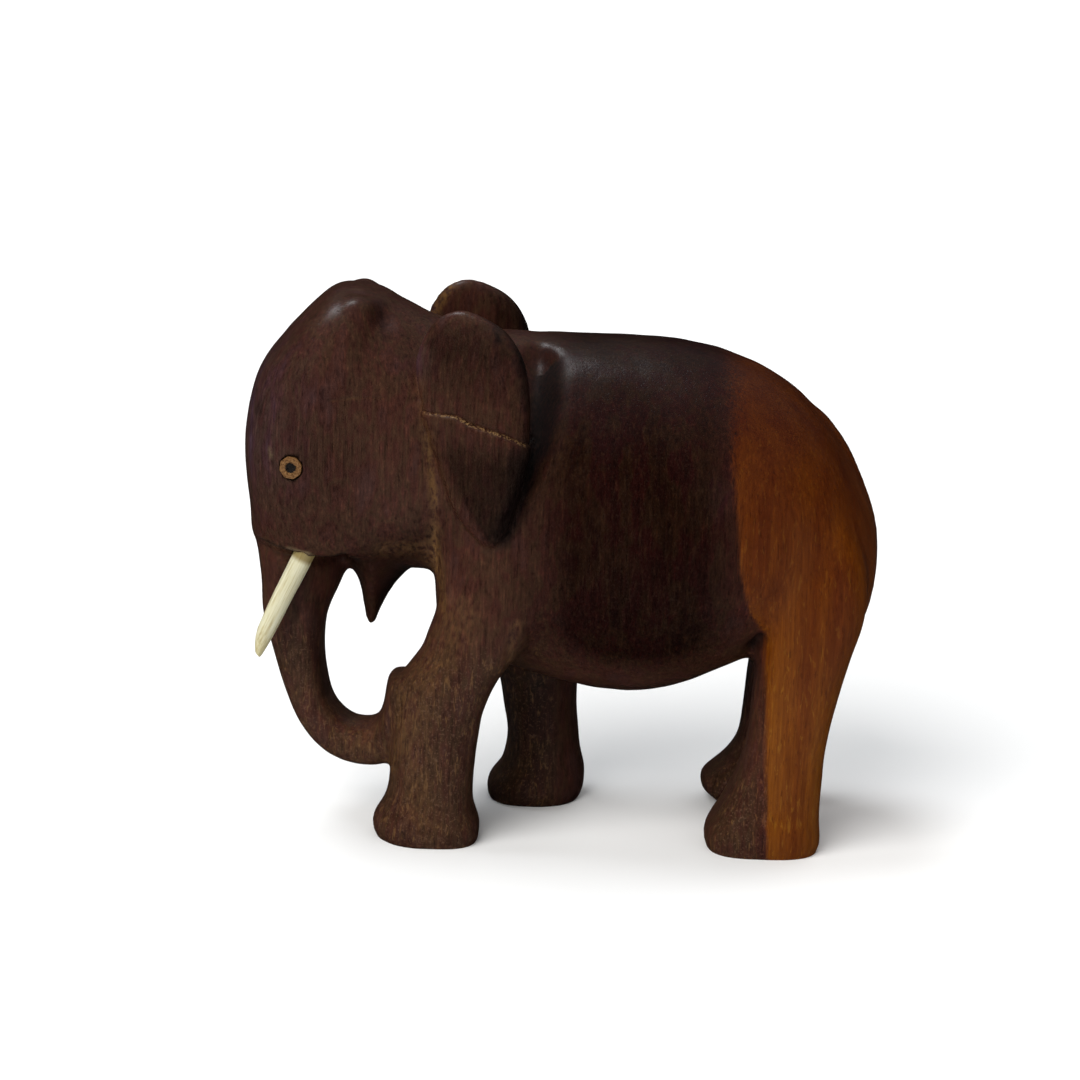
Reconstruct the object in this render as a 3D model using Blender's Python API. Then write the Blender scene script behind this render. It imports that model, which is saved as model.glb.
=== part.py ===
"""A wooden elephant carved from one block, with two bone tusks and two peg eyes.

The elephant faces -X and stands on the XY plane, with its left side towards -Y.
The carving is drawn DRAWN_HEIGHT units tall and then scaled to HEIGHT, so that its
pose and proportions are shares of its height. Every other length is in metres.
"""

import math

import bmesh
import bpy
import numpy as np
from mathutils import Matrix, Vector

# Driving sizes of the figure
HEIGHT = 0.150
DRAWN_HEIGHT = 150.0

# Tusks, which stand in sockets under the lip
TUSK_LENGTH = 0.0362
TUSK_DIAMETER = 0.0056
TUSK_SOCKET_DEPTH = 0.0065
TUSK_SIDES = 20

# Eyes, which are eight-sided pegs with a small hollow for the pupil
EYE_DIAMETER = 0.0064
EYE_LENGTH = 0.0055
EYE_PROUD = 0.0005
EYE_SIDES = 8
EYE_BEVEL = 0.0003
PUPIL_DIAMETER = 0.0026
PUPIL_DEPTH = 0.0006

# Gap that every fitted piece keeps to the wood
FIT_GAP = 0.0003

# Fineness of the carving
VOXEL = 0.9
RING_POINTS = 96
SECTION_STEP = 2.0
CARVING_TRIANGLES = 8600

# Places on the carving, in drawn units
FOOT_CENTRE_Y = 18.4
LEG_FOOTING = -6.0
TUSK_ROOT = (-64.4, 17.3, 76.8)
TUSK_POINT = (-77.2, 19.0, 50.2)
EYE_PLACE = (-66.9, 103.9)
EYE_OUTWARD = (-0.16, 1.0, 0.02)
OUTSIDE_Y = 60.0

LEFT, RIGHT = -1, 1


def through(rows, step=SECTION_STEP):
    """Rows of a smooth curve through the given rows, about a step apart."""
    rows = np.array(rows, float)
    travel = np.linalg.norm(np.diff(rows, axis=0), axis=1)
    at = np.concatenate([[0.0], np.cumsum(travel)])
    slopes = np.gradient(rows, at, axis=0)
    wanted = np.linspace(0, at[-1], max(3, round(at[-1] / step) + 1))
    i = np.clip(np.searchsorted(at, wanted, side="right") - 1, 0, len(at) - 2)
    span = (at[i + 1] - at[i])[:, None]
    t = (wanted - at[i])[:, None] / span
    return (
        rows[i] * (2 * t**3 - 3 * t**2 + 1)
        + slopes[i] * span * (t**3 - 2 * t**2 + t)
        + rows[i + 1] * (3 * t**2 - 2 * t**3)
        + slopes[i + 1] * span * (t**3 - t**2)
    )


def ring(centre, across, up, reach, squareness):
    """Points of a rounded section.

    reach is how far it goes along -across, +across, -up and +up. squareness is 2 for an
    ellipse and more for a squarer section, on the -across side and on the +across side.
    """
    back, front, down, top = np.maximum(reach, 0.02)
    turn = np.arange(RING_POINTS) * 2 * math.pi / RING_POINTS
    c, s = np.cos(turn), np.sin(turn)
    power = 2 / np.where(c < 0, squareness[0], squareness[1])
    u = np.sign(c) * np.abs(c) ** power * np.where(c < 0, back, front)
    v = np.sign(s) * np.abs(s) ** power * np.where(s < 0, down, top)
    return np.array(centre) + np.outer(u, across) + np.outer(v, up)


def add_loft(bm, rings):
    """Adds one closed skin over the rings."""
    loops = [[bm.verts.new(point) for point in points] for points in rings]
    faces = [bm.faces.new(loops[0]), bm.faces.new(loops[-1])]
    for first, second in zip(loops, loops[1:]):
        for i, (a, b) in enumerate(zip(first, second)):
            faces.append(bm.faces.new((a, first[i - 1], second[i - 1], b)))
    bmesh.ops.recalc_face_normals(bm, faces=faces)


def add_lengthwise(bm, rows):
    """Adds a mass of upright sections: x, bottom, widest z, top, half width, squareness."""
    rings = []
    for x, bottom, widest, top, half, square in through(rows):
        reach = (half, half, widest - bottom, top - widest)
        rings.append(ring((x, 0, widest), (0, 1, 0), (0, 0, 1), reach, (square, square)))
    add_loft(bm, rings)


def add_level(bm, rows):
    """Adds a mass of level sections: z, front, widest x, back, half width, squareness."""
    rings = []
    for z, front, widest, back, half, square in through(rows):
        reach = (widest - front, back - widest, half, half)
        rings.append(ring((widest, 0, z), (1, 0, 0), (0, 1, 0), reach, (square, square)))
    add_loft(bm, rings)


def add_trunk(bm):
    """Adds sections along the trunk's bent middle line: x, y, z, reach to the front and to
    the rear, half width, squareness of the front and of the rear."""
    rows = through(
        [
            (-65.0, 0, 92, 15.0, 12.0, 21.0, 2.6, 2.0),
            (-65.5, 0, 82, 13.5, 13.4, 19.6, 2.6, 1.6),
            (-66.5, 0, 76, 11.4, 14.0, 17.4, 2.6, 1.5),
            (-67.0, 0, 68, 9.7, 12.9, 14.8, 2.6, 1.7),
            (-67.0, 0, 58, 9.2, 8.9, 13.0, 2.6, 2.6),
            (-66.6, 0, 48, 6.7, 7.4, 11.8, 2.7, 3.2),
            (-64.6, 0, 38, 5.7, 6.5, 10.8, 2.8, 3.4),
            (-60.6, -0.5, 29.0, 5.7, 5.5, 10.2, 2.8, 3.2),
            (-54.2, -1.5, 23.0, 6.0, 5.5, 9.8, 2.8, 2.8),
            (-47.0, -4.0, 21.5, 6.0, 6.4, 9.7, 2.8, 2.6),
            (-40.5, -7.0, 23.4, 5.8, 6.8, 10.2, 2.8, 2.6),
            (-36.4, -10.5, 29.5, 6.0, 6.8, 10.8, 2.8, 2.6),
            (-35.2, -12.8, 36.0, 5.0, 6.3, 11.0, 2.8, 2.8),
            (-34.8, -13.8, 40.0, 4.0, 6.2, 10.8, 2.8, 2.8),
            (-34.4, -14.0, 42.4, 3.0, 6.4, 10.2, 2.8, 2.8),
            (-34.0, -14.0, 43.4, 2.0, 5.0, 9.0, 2.6, 2.6),
        ]
    )
    tangents = np.gradient(rows[:, :3], axis=0)
    rings = []
    for (x, y, z, front, rear, half, *square), tangent in zip(rows, tangents):
        inward = Vector(tangent).cross((0, 1, 0)).normalized()
        rings.append(ring((x, y, z), inward, (0, 1, 0), (front, rear, half, half), square))
    add_loft(bm, rings)


def add_torso(bm):
    add_lengthwise(
        bm,
        [
            (-28.4, 66, 104, 137.0, 21, 2.2),
            (-27.0, 56, 101, 138.5, 25.5, 2.2),
            (-20, 48.5, 94, 138.0, 28.5, 2.2),
            (-8, 45.2, 90, 138.0, 31, 2.2),
            (8, 41.2, 86, 137.7, 34, 2.3),
            (23, 39.2, 84, 137.5, 36, 2.3),
            (37, 40.9, 84, 136.7, 36.5, 2.3),
            (50, 46.4, 86, 133.8, 36, 2.3),
            (64, 52, 86, 127.7, 34, 2.2),
            (76, 52, 84, 117.5, 29.5, 2.2),
            (84.2, 55, 82, 105.6, 23.5, 2.1),
            (89.0, 60, 80, 96.2, 17, 2.0),
            (91.9, 68, 79, 87.0, 10, 2.0),
            (93.1, 77, 78, 79, 2, 2.0),
        ],
    )


def add_neck(bm):
    add_lengthwise(
        bm,
        [
            (-62, 86, 108, 139, 22, 2.5),
            (-52, 78, 108, 147.0, 25, 2.6),
            (-44, 74.5, 106, 147.6, 26, 2.5),
            (-37, 72.0, 104, 144.9, 26.4, 2.3),
            (-29, 71.6, 102, 141.2, 27, 2.2),
            (-18, 68, 100, 139.2, 28, 2.1),
            (-4, 68, 96, 136.5, 27, 2.1),
        ],
    )


def add_head(bm):
    add_level(
        bm,
        [
            (149.9, -55.5, -52, -49.0, 5, 2.0),
            (149.0, -57.7, -52, -44.6, 11, 2.1),
            (146.9, -60.5, -54, -41.4, 16.5, 2.3),
            (143.2, -64.4, -55, -40.3, 20.6, 2.4),
            (135.0, -71.7, -57, -40.5, 24.0, 2.4),
            (127.0, -77.3, -58, -39.0, 25.8, 2.4),
            (118.5, -79.9, -58, -36.0, 26.6, 2.5),
            (108.0, -81.3, -57, -33.0, 27, 2.6),
            (97.0, -80.9, -56, -31.0, 26.2, 2.6),
            (88.0, -79.8, -55, -30.0, 24.4, 2.6),
            (81.5, -79.4, -54, -31.0, 22.2, 2.6),
            (78.6, -78.6, -54, -33.0, 20.8, 2.6),
            (77.4, -77.4, -54, -36.0, 19.0, 2.6),
        ],
    )


def add_jaw(bm):
    add_level(
        bm,
        [
            (88, -60, -46, -31, 23, 1.8),
            (80, -57.5, -46, -31, 21.0, 1.5),
            (75, -55.2, -46, -32.0, 17.2, 1.25),
            (69.5, -51.4, -46, -36.4, 12.4, 1.15),
            (65.3, -49.7, -46, -39.8, 9.2, 1.1),
            (61, -48.9, -46, -42.3, 6.6, 1.15),
            (57, -48.1, -46, -44.3, 4.2, 1.3),
            (53.2, -47.2, -46, -45.2, 1.9, 1.8),
        ],
    )


def add_leg(bm, side, sections, squareness):
    """Adds a leg of level sections: z, front, back, inner half width, outer half width."""
    rows = [(LEG_FOOTING, *sections[0][1:]), *sections]
    rings = []
    for z, front, back, inner, outer in through(rows):
        middle = (front + back) / 2
        half = (back - front) / 2
        reach = (half, half, outer, inner) if side == LEFT else (half, half, inner, outer)
        centre = (middle, side * FOOT_CENTRE_Y, z)
        rings.append(ring(centre, (1, 0, 0), (0, 1, 0), reach, squareness))
    add_loft(bm, rings)


NEAR_FRONT_LEG = [
    (-1.0, -42.0, -15.1, 12.0, 13.2),
    (0.6, -43.4, -14.4, 13.3, 14.3),
    (2.6, -44.3, -14.0, 14.0, 14.9),
    (5.8, -43.6, -15.1, 13.9, 14.1),
    (9.4, -41.2, -16.4, 12.9, 13.4),
    (13.0, -39.9, -16.6, 12.4, 13.1),
    (19.0, -39.3, -16.4, 12.2, 13.0),
    (28.0, -38.7, -15.3, 12.6, 13.3),
    (37.0, -38.0, -13.8, 14.0, 13.7),
    (45.0, -37.0, -10.6, 15.8, 14.0),
    (49.0, -34.4, -8.2, 16.6, 14.2),
    (53.0, -31.4, -4.5, 17.0, 14.3),
    (58.0, -29.8, -1.5, 17.0, 14.3),
    (66.0, -27.4, 2.0, 16.5, 14.0),
    (76.0, -27.4, 4.0, 15.5, 13.2),
    (88.0, -26.0, 5.0, 13.0, 11.5),
    (98.0, -23.0, 3.0, 9.0, 8.5),
]

FAR_FRONT_LEG = [
    (-1.0, -11.6, 12.2, 12.0, 12.2),
    (0.6, -12.9, 13.8, 13.3, 13.5),
    (2.6, -13.6, 14.5, 14.0, 14.2),
    (5.8, -12.2, 14.9, 13.9, 14.1),
    (9.4, -9.2, 14.6, 12.9, 13.4),
    (13.0, -8.2, 13.6, 12.4, 13.1),
    (19.0, -7.6, 12.8, 12.2, 13.0),
    (28.0, -9.1, 12.0, 12.6, 13.3),
    (37.0, -10.7, 11.9, 14.0, 13.7),
    (45.0, -13.7, 11.3, 15.8, 14.0),
    (53.0, -18.0, 10.5, 17.0, 14.3),
    (62.0, -22.5, 10.0, 17.0, 14.2),
    (74.0, -25.5, 8.5, 16.0, 13.5),
    (88.0, -26.0, 6.0, 13.0, 11.5),
    (98.0, -23.0, 3.0, 9.0, 8.5),
]

NEAR_REAR_LEG = [
    (-1.0, 49.0, 78.4, 12.2, 13.8),
    (0.6, 48.0, 79.4, 13.4, 14.4),
    (2.6, 47.3, 80.0, 14.1, 14.6),
    (5.8, 48.6, 79.4, 14.0, 14.6),
    (12.0, 52.2, 79.1, 12.9, 13.6),
    (19.0, 55.4, 79.3, 12.4, 13.4),
    (27.0, 57.8, 79.7, 12.4, 13.4),
    (36.0, 59.0, 81.0, 12.8, 13.8),
    (47.0, 59.6, 83.3, 14.2, 14.2),
    (55.0, 60.0, 85.4, 16.0, 14.3),
    (66.0, 59.0, 88.6, 17.0, 14.2),
    (80.0, 53.0, 88.4, 15.0, 13.0),
    (96.0, 52.0, 82.0, 10.0, 9.5),
]

FAR_REAR_LEG = [
    (-1.0, 54.5, 78.0, 12.2, 12.2),
    (0.6, 53.0, 79.2, 12.9, 13.4),
    (2.6, 50.0, 79.8, 13.5, 14.1),
    (4.6, 47.9, 79.6, 13.6, 14.1),
    (7.0, 47.7, 79.4, 13.4, 14.0),
    (9.2, 49.8, 79.2, 13.2, 13.8),
    (13.5, 54.6, 79.1, 12.8, 13.4),
    (19.0, 58.1, 79.3, 12.4, 13.2),
    (27.0, 59.3, 79.7, 12.4, 13.2),
    (36.0, 60.0, 81.0, 12.8, 13.6),
    (47.0, 60.8, 83.3, 14.2, 14.1),
    (55.0, 60.4, 85.4, 16.0, 14.3),
    (66.0, 58.5, 88.6, 17.0, 14.2),
    (80.0, 53.0, 88.4, 15.0, 13.0),
    (96.0, 52.0, 82.0, 10.0, 9.5),
]


def add_ear(bm, side):
    """Adds a leaf of level sections, each round its chord from the front edge to the rear.

    Its rows are z, front x and y, rear x and y, the bulge outward and the thickness inward.
    """
    rows = through(
        [
            (147.8, -23.8, 26.0, -21.0, 26.5, 0.5, 1.5),
            (147.0, -26.6, 25.6, -18.4, 27.5, 1.2, 2.8),
            (145.4, -28.9, 25.2, -15.0, 28.3, 1.8, 3.6),
            (143.2, -30.9, 25.0, -11.2, 29.2, 2.4, 4.2),
            (139.5, -32.9, 24.8, -7.9, 30.4, 3.0, 4.8),
            (134.0, -34.6, 24.9, -5.2, 31.6, 3.4, 5.2),
            (126.5, -34.1, 25.4, -4.0, 32.6, 3.8, 5.4),
            (118.5, -31.9, 26.2, -3.7, 33.2, 4.0, 5.2),
            (110.0, -28.9, 27.4, -3.8, 33.4, 3.9, 4.8),
            (102.4, -26.3, 28.6, -5.1, 33.4, 3.5, 4.4),
            (95.0, -23.6, 29.8, -7.2, 33.2, 2.7, 3.8),
            (89.0, -19.4, 30.9, -9.4, 32.8, 1.6, 3.0),
            (84.8, -14.0, 31.4, -12.2, 31.8, 0.4, 1.5),
        ]
    )
    rings = []
    for z, front_x, front_y, rear_x, rear_y, bulge, thick in rows:
        front = Vector((front_x, side * front_y, z))
        rear = Vector((rear_x, side * rear_y, z))
        along = (rear - front).normalized()
        outward = along.cross((0, 0, -side))
        chord = (rear - front).length
        centre = front + along * chord * 0.62
        reach = (chord * 0.62, chord * 0.38, thick, bulge)
        rings.append(ring(centre, along, outward, reach, (1.8, 3.0)))
    add_loft(bm, rings)


def add_tail(bm):
    """Adds a low tail down the rump, ending in a slightly wider tuft.

    Its rows are x, z, half thickness and half width.
    """
    rows = through(
        [
            (70.0, 121.4, 1.0, 3.4),
            (75.4, 117.0, 1.6, 3.3),
            (79.3, 112.0, 1.9, 3.0),
            (83.2, 106.0, 2.0, 2.7),
            (87.3, 97.2, 2.0, 2.5),
            (89.9, 89.9, 2.0, 2.4),
            (91.4, 82.0, 2.0, 2.3),
            (91.6, 77.0, 1.9, 2.3),
            (91.2, 70.0, 1.7, 2.8),
            (89.9, 63.0, 1.5, 3.4),
            (88.2, 57.5, 1.1, 3.0),
            (86.6, 53.6, 0.5, 1.6),
        ]
    )
    tangents = np.gradient(rows[:, :2], axis=0)
    rings = []
    for (x, z, thick, wide), (run, rise) in zip(rows, tangents):
        outward = Vector((-rise, 0, run)).normalized()
        reach = (thick, thick, wide, wide)
        rings.append(ring((x, 0, z), outward, (0, 1, 0), reach, (2.2, 2.2)))
    add_loft(bm, rings)


def points_of(mesh):
    flat = np.empty(len(mesh.vertices) * 3)
    mesh.vertices.foreach_get("co", flat)
    return flat.reshape(-1, 3)


def pairs_of(mesh):
    flat = np.empty(len(mesh.edges) * 2, np.int32)
    mesh.edges.foreach_get("vertices", flat)
    return flat.reshape(-1, 2)


def move_points(mesh, points):
    mesh.vertices.foreach_set("co", points.ravel())
    mesh.update()


def relax(points, pairs, repeats, weight=0.5):
    """Moves each point part of the way to the middle of its neighbours, again and again."""
    total = len(points)
    ends = np.concatenate([pairs, pairs[:, ::-1]])
    share = np.bincount(ends[:, 0], minlength=total)
    weight = np.broadcast_to(weight, total) / share
    for _ in range(repeats):
        pull = [np.bincount(ends[:, 0], points[ends[:, 1], i], total) for i in range(3)]
        points = points + (np.stack(pull, 1) - points * share[:, None]) * weight[:, None]
    return points


def fade(distance, reach):
    """1 at no distance, smoothly down to 0 at the reach and beyond."""
    t = np.clip(1 - distance / reach, 0, 1)
    return t * t * (3 - 2 * t)


def soften(points, pairs, spots):
    """Blends the surface inside round spots, the same on both flanks.

    Each spot is x, distance from the middle plane, z, radius and how much.
    """
    for x, y, z, radius, repeats in spots:
        folded = np.stack([points[:, 0], np.abs(points[:, 1]), points[:, 2]], 1)
        away = np.linalg.norm(folded - (x, y, z), axis=1)
        points = relax(points, pairs, repeats, 0.5 * fade(away, radius))
    return points


def along_stroke(points, path):
    """Distance of each point to the path seen from the side, and how far along it that is."""
    path = np.array(path, float)
    best = np.full(len(points), np.inf)
    place = np.zeros(len(points))
    flat = points[:, [0, 2]]
    for i, (start, end) in enumerate(zip(path, path[1:])):
        step = end - start
        t = np.clip((flat - start) @ step / (step @ step), 0, 1)
        away = np.linalg.norm(flat - start - t[:, None] * step, axis=1)
        nearer = away < best
        best[nearer] = away[nearer]
        place[nearer] = (i + t[nearer]) / (len(path) - 1)
    return best, place


def carve(points, path, width, depth, side=None, least_y=4.0):
    """Sinks a groove into the flank along a path of (x, z) points, or raises a ridge.

    width and depth are given at the start, the middle and the end of the path, and a
    negative depth raises the surface. Both flanks are carved, unless side says which one.
    """
    away, place = along_stroke(points, path)
    reach = np.interp(place, (0, 0.5, 1), width)
    deep = np.interp(place, (0, 0.5, 1), depth) * fade(away, reach)
    deep = deep * np.clip(np.abs(points[:, 1]) / least_y, 0, 1)
    if side is not None:
        deep = np.where(np.sign(points[:, 1]) == side, deep, 0)
    moved = points.copy()
    moved[:, 1] -= np.sign(points[:, 1]) * deep
    return moved


BLENDS = [
    (-12, 31, 74, 24, 40),
    (-48, 24, 110, 26, 40),
    (-38, 20, 78, 12, 60),
    (-50, 20, 78, 7, 25),
    (-38, 22, 30, 9, 25),
    (66, 31, 78, 30, 80),
    (76, 22, 98, 20, 30),
    (-40, 20, 132, 15, 25),
    (-34, 16, 76, 9, 12),
    (-30, 26, 110, 16, 25),
]
EAR_BED = [(-2, 131), (-2, 123), (-2.6, 116), (-4, 109), (-5.5, 102), (-8, 95), (-11, 87)]
TEMPLES = [(-49.6, 15.5, 145.4, 7.0, 2.1), (-43.0, 16.5, 143.8, 5.0, -2.2), (-51, 10.5, 149, 5, -0.7)]
EAR_FRONT = [(-35.5, 138), (-35, 128), (-31.5, 116), (-29, 106), (-28.5, 96), (-28.5, 84)]
BELLY_CREASE = [(-6, 49), (-6.6, 55), (-7.2, 61)]
HIP_CREASE = [(58.5, 57), (60.5, 62.5), (61.8, 66)]
UNDER_LIP = [(-80, 79.6), (-70.1, 77.4), (-64.7, 76.6), (-58.8, 75.4), (-53.5, 76.8)]
TRUNK_SEAM = [(-38.6, 38), (-39.2, 29), (-40.5, 22), (-41.0, 17)]
EAR_CRACK = [(-31.5, 120.2), (-23.2, 120.2), (-19.3, 118.5), (-10, 116.1), (-3.6, 113.4)]


def swell(points, spots):
    """Raises round spots up and outward, or sinks them, the same on both flanks.

    Each spot is x, distance from the middle plane, z, radius and rise.
    """
    moved = points.copy()
    for x, y, z, radius, rise in spots:
        folded = np.stack([points[:, 0], np.abs(points[:, 1]), points[:, 2]], 1)
        push = rise * fade(np.linalg.norm(folded - (x, y, z), axis=1), radius)
        moved[:, 1] += np.sign(points[:, 1]) * 0.7 * push
        moved[:, 2] += 0.7 * push
    return moved


def weld(obj, repeats):
    """Makes the object's overlapping skins one even surface and takes off its steps."""
    remesh = obj.modifiers.new("weld", "REMESH")
    remesh.mode = "VOXEL"
    remesh.voxel_size = VOXEL
    bake(obj)
    move_points(obj.data, relax(points_of(obj.data), pairs_of(obj.data), repeats))


def bake(obj):
    """Gives the object the mesh that its modifiers make, and removes them."""
    graph = bpy.context.evaluated_depsgraph_get()
    baked = bpy.data.meshes.new_from_object(obj.evaluated_get(graph))
    obj.modifiers.clear()
    obj.data = baked


def to_object(bm, name):
    mesh = bpy.data.meshes.new(name)
    bm.to_mesh(mesh)
    bm.free()
    made = bpy.data.objects.new(name, mesh)
    bpy.context.scene.collection.objects.link(made)
    return made


def carved_body():
    """The body without its ears, with its limbs blended in and a bed cut for each ear."""
    bm = bmesh.new()
    add_torso(bm)
    add_neck(bm)
    add_head(bm)
    add_jaw(bm)
    add_trunk(bm)
    add_leg(bm, LEFT, NEAR_FRONT_LEG, (2.0, 3.2))
    add_leg(bm, RIGHT, FAR_FRONT_LEG, (2.6, 2.2))
    add_leg(bm, LEFT, NEAR_REAR_LEG, (3.2, 2.9))
    add_leg(bm, RIGHT, FAR_REAR_LEG, (2.4, 2.6))
    body = to_object(bm, "elephant")
    weld(body, 8)
    points, pairs = points_of(body.data), pairs_of(body.data)
    points = soften(points, pairs, BLENDS)
    points = carve(points, EAR_BED, (8.5, 7, 4), (7.5, 4.2, 0.4))
    points = swell(points, TEMPLES)
    points = carve(points, UNDER_LIP, (2.6, 3.0, 2.6), (0.6, 1.6, 2.0))
    points = carve(points, EAR_FRONT, (4, 4, 4), (0.4, 0.8, 0.5))
    points = carve(points, BELLY_CREASE, (3, 3, 3), (1.6, 1.4, 0))
    points = carve(points, HIP_CREASE, (4, 3.5, 3), (1.6, 1.2, 0))
    points = carve(points, TRUNK_SEAM, (2.5, 2.5, 2.5), (0.2, 0.6, 0.4), LEFT)
    move_points(body.data, points)
    return body


def rough_out():
    body = carved_body()
    bm = bmesh.new()
    bm.from_mesh(body.data)
    for side in (LEFT, RIGHT):
        add_ear(bm, side)
    add_tail(bm)
    bm.to_mesh(body.data)
    bm.free()
    weld(body, 5)
    points = carve(points_of(body.data), UNDER_LIP, (1.8, 2.4, 2.6), (0.7, 1.5, 1.8))
    points = carve(points, EAR_CRACK, (1.3, 1.4, 1.3), (0.5, 0.7, 0.5), LEFT, 24)
    move_points(body.data, points)
    return body


def thin_out(obj):
    """Keeps only as many triangles as the form needs, and cuts the four soles flat."""
    obj.data.calc_loop_triangles()
    thin = obj.modifiers.new("thin", "DECIMATE")
    thin.ratio = CARVING_TRIANGLES / len(obj.data.loop_triangles)
    thin.use_collapse_triangulate = True
    bake(obj)
    bm = bmesh.new()
    bm.from_mesh(obj.data)
    everything = [*bm.verts, *bm.edges, *bm.faces]
    cut = bmesh.ops.bisect_plane(
        bm, geom=everything, plane_co=(0, 0, 0), plane_no=(0, 0, 1), clear_inner=True
    )["geom_cut"]
    rims = [item for item in cut if isinstance(item, bmesh.types.BMEdge)]
    bmesh.ops.holes_fill(bm, edges=rims)
    bmesh.ops.recalc_face_normals(bm, faces=bm.faces)
    bm.to_mesh(obj.data)
    bm.free()


def to_real_size(obj):
    """Scales the drawn carving to HEIGHT and centres it. Gives the move from drawn units."""
    points = points_of(obj.data)
    low, high = points.min(axis=0), points.max(axis=0)
    middle = Vector(((low[0] + high[0]) / 2, (low[1] + high[1]) / 2, 0))
    move = Matrix.Scale(HEIGHT / (high[2] - low[2]), 4) @ Matrix.Translation(-middle)
    obj.data.transform(move)
    return move


def lathe(name, profile, sides, middles=None):
    """A closed solid of round or many-sided rings: distance along its axis, and radius."""
    bm = bmesh.new()
    rings = []
    for i, (along, radius) in enumerate(profile):
        middle = middles[i] if middles else 0.0
        turns = (np.arange(sides) + 0.5) * 2 * math.pi / sides
        ring_points = [
            (middle + radius * math.cos(turn), radius * math.sin(turn), along) for turn in turns
        ]
        rings.append(ring_points)
    add_loft(bm, rings)
    return to_object(bm, name)


def tusk_profile(gap=0.0):
    """Rings from the foot in the socket to the worn tip, swollen and lengthened by the gap."""
    shape = [
        (0.0, 1.0),
        (0.25, 1.0),
        (0.5, 0.97),
        (0.68, 0.92),
        (0.8, 0.86),
        (0.87, 0.74),
        (0.93, 0.56),
        (0.975, 0.38),
        (1.0, 0.2),
    ]
    radius = TUSK_DIAMETER / 2
    rows = [(share * TUSK_LENGTH, radius * part + gap) for share, part in shape]
    rows[0] = (rows[0][0] - gap, rows[0][1])
    rows[-1] = (rows[-1][0] + gap, rows[-1][1])
    return rows


def tusk(name, gap=0.0):
    """A tusk along its own Z axis, cut slantwise on the rear side of its tip."""
    profile = tusk_profile(gap)
    widest = profile[0][1]
    middles = [-(widest - radius) * 0.7 for _, radius in profile]
    return lathe(name, profile, TUSK_SIDES, middles)


def peg(name, gap=0.0):
    """An eye peg along its own Z axis, its face at the origin."""
    radius = EYE_DIAMETER / 2
    if gap:
        opened = radius + gap / math.cos(math.pi / EYE_SIDES)
        return lathe(name, [(-EYE_LENGTH - gap, opened), (EYE_LENGTH, opened)], EYE_SIDES)
    profile = [
        (-EYE_LENGTH, radius),
        (-EYE_BEVEL, radius),
        (0.0, radius - EYE_BEVEL),
        (0.0, PUPIL_DIAMETER / 2),
        (-PUPIL_DEPTH, PUPIL_DIAMETER / 2 * 0.8),
    ]
    return lathe(name, profile, EYE_SIDES)


def standing_on(origin, axis):
    """The place of a piece whose Z axis points along axis, its X axis towards the rear."""
    axis = axis.normalized()
    across = Vector((0, 1, 0)).cross(axis).normalized()
    place = Matrix((across, axis.cross(across), axis)).transposed().to_4x4()
    place.translation = origin
    return place


def tusk_place(move, side):
    root = move @ Vector((TUSK_ROOT[0], side * TUSK_ROOT[1], TUSK_ROOT[2]))
    point = move @ Vector((TUSK_POINT[0], side * TUSK_POINT[1], TUSK_POINT[2]))
    axis = (point - root).normalized()
    return standing_on(root - axis * TUSK_SOCKET_DEPTH, axis)


def eye_place(move, side, elephant):
    outside = move @ Vector((EYE_PLACE[0], side * OUTSIDE_Y, EYE_PLACE[1]))
    hit, seat, _, _ = elephant.ray_cast(outside, Vector((0, -side, 0)))
    assert hit, "the eye's place is off the head"
    outward = Vector((EYE_OUTWARD[0], side * EYE_OUTWARD[1], EYE_OUTWARD[2])).normalized()
    return standing_on(seat + outward * EYE_PROUD, outward)


def cut_socket(elephant, cutter, place):
    cutter.matrix_world = place
    cutter.hide_render = True
    cutter.display_type = "WIRE"
    socket = elephant.modifiers.new(cutter.name, "BOOLEAN")
    socket.operation = "DIFFERENCE"
    socket.solver = "EXACT"
    socket.object = cutter


def finish_of(name, colour, roughness):
    finish = bpy.data.materials.new(name)
    finish.use_nodes = True
    shader = finish.node_tree.nodes["Principled BSDF"]
    shader.inputs["Base Color"].default_value = (*colour, 1)
    shader.inputs["Roughness"].default_value = roughness
    shader.inputs["Metallic"].default_value = 0
    return finish


def main():
    for old in list(bpy.data.objects):
        bpy.data.objects.remove(old)
    carving = finish_of("carved wood", (0.13, 0.055, 0.032), 0.42)
    bone = finish_of("bone", (0.72, 0.66, 0.47), 0.35)
    peg_wood = finish_of("peg wood", (0.36, 0.17, 0.05), 0.5)
    elephant = rough_out()
    thin_out(elephant)
    move = to_real_size(elephant)
    bpy.context.view_layer.update()
    for side, word in ((LEFT, "left"), (RIGHT, "right")):
        tusk_at, eye_at = tusk_place(move, side), eye_place(move, side, elephant)
        made_tusk, made_eye = tusk(f"tusk_{word}"), peg(f"eye_{word}")
        made_tusk.matrix_world, made_eye.matrix_world = tusk_at, eye_at
        made_tusk.data.materials.append(bone)
        made_eye.data.materials.append(peg_wood)
        made_tusk.data.shade_smooth()
        cut_socket(elephant, tusk(f"tusk_socket_{word}", FIT_GAP), tusk_at)
        cut_socket(elephant, peg(f"eye_socket_{word}", FIT_GAP), eye_at)
    elephant.data.materials.clear()
    elephant.data.materials.append(carving)
    elephant.data.shade_smooth()


main()
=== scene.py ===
"""Dresses the wooden elephant: fine carving, wear, wood, bone, floor, light and camera.

The elephant faces -X and stands on the XY plane. Its carving is worked out in drawn units,
DRAWN_HEIGHT of them to its height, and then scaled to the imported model's height.
"""

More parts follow.
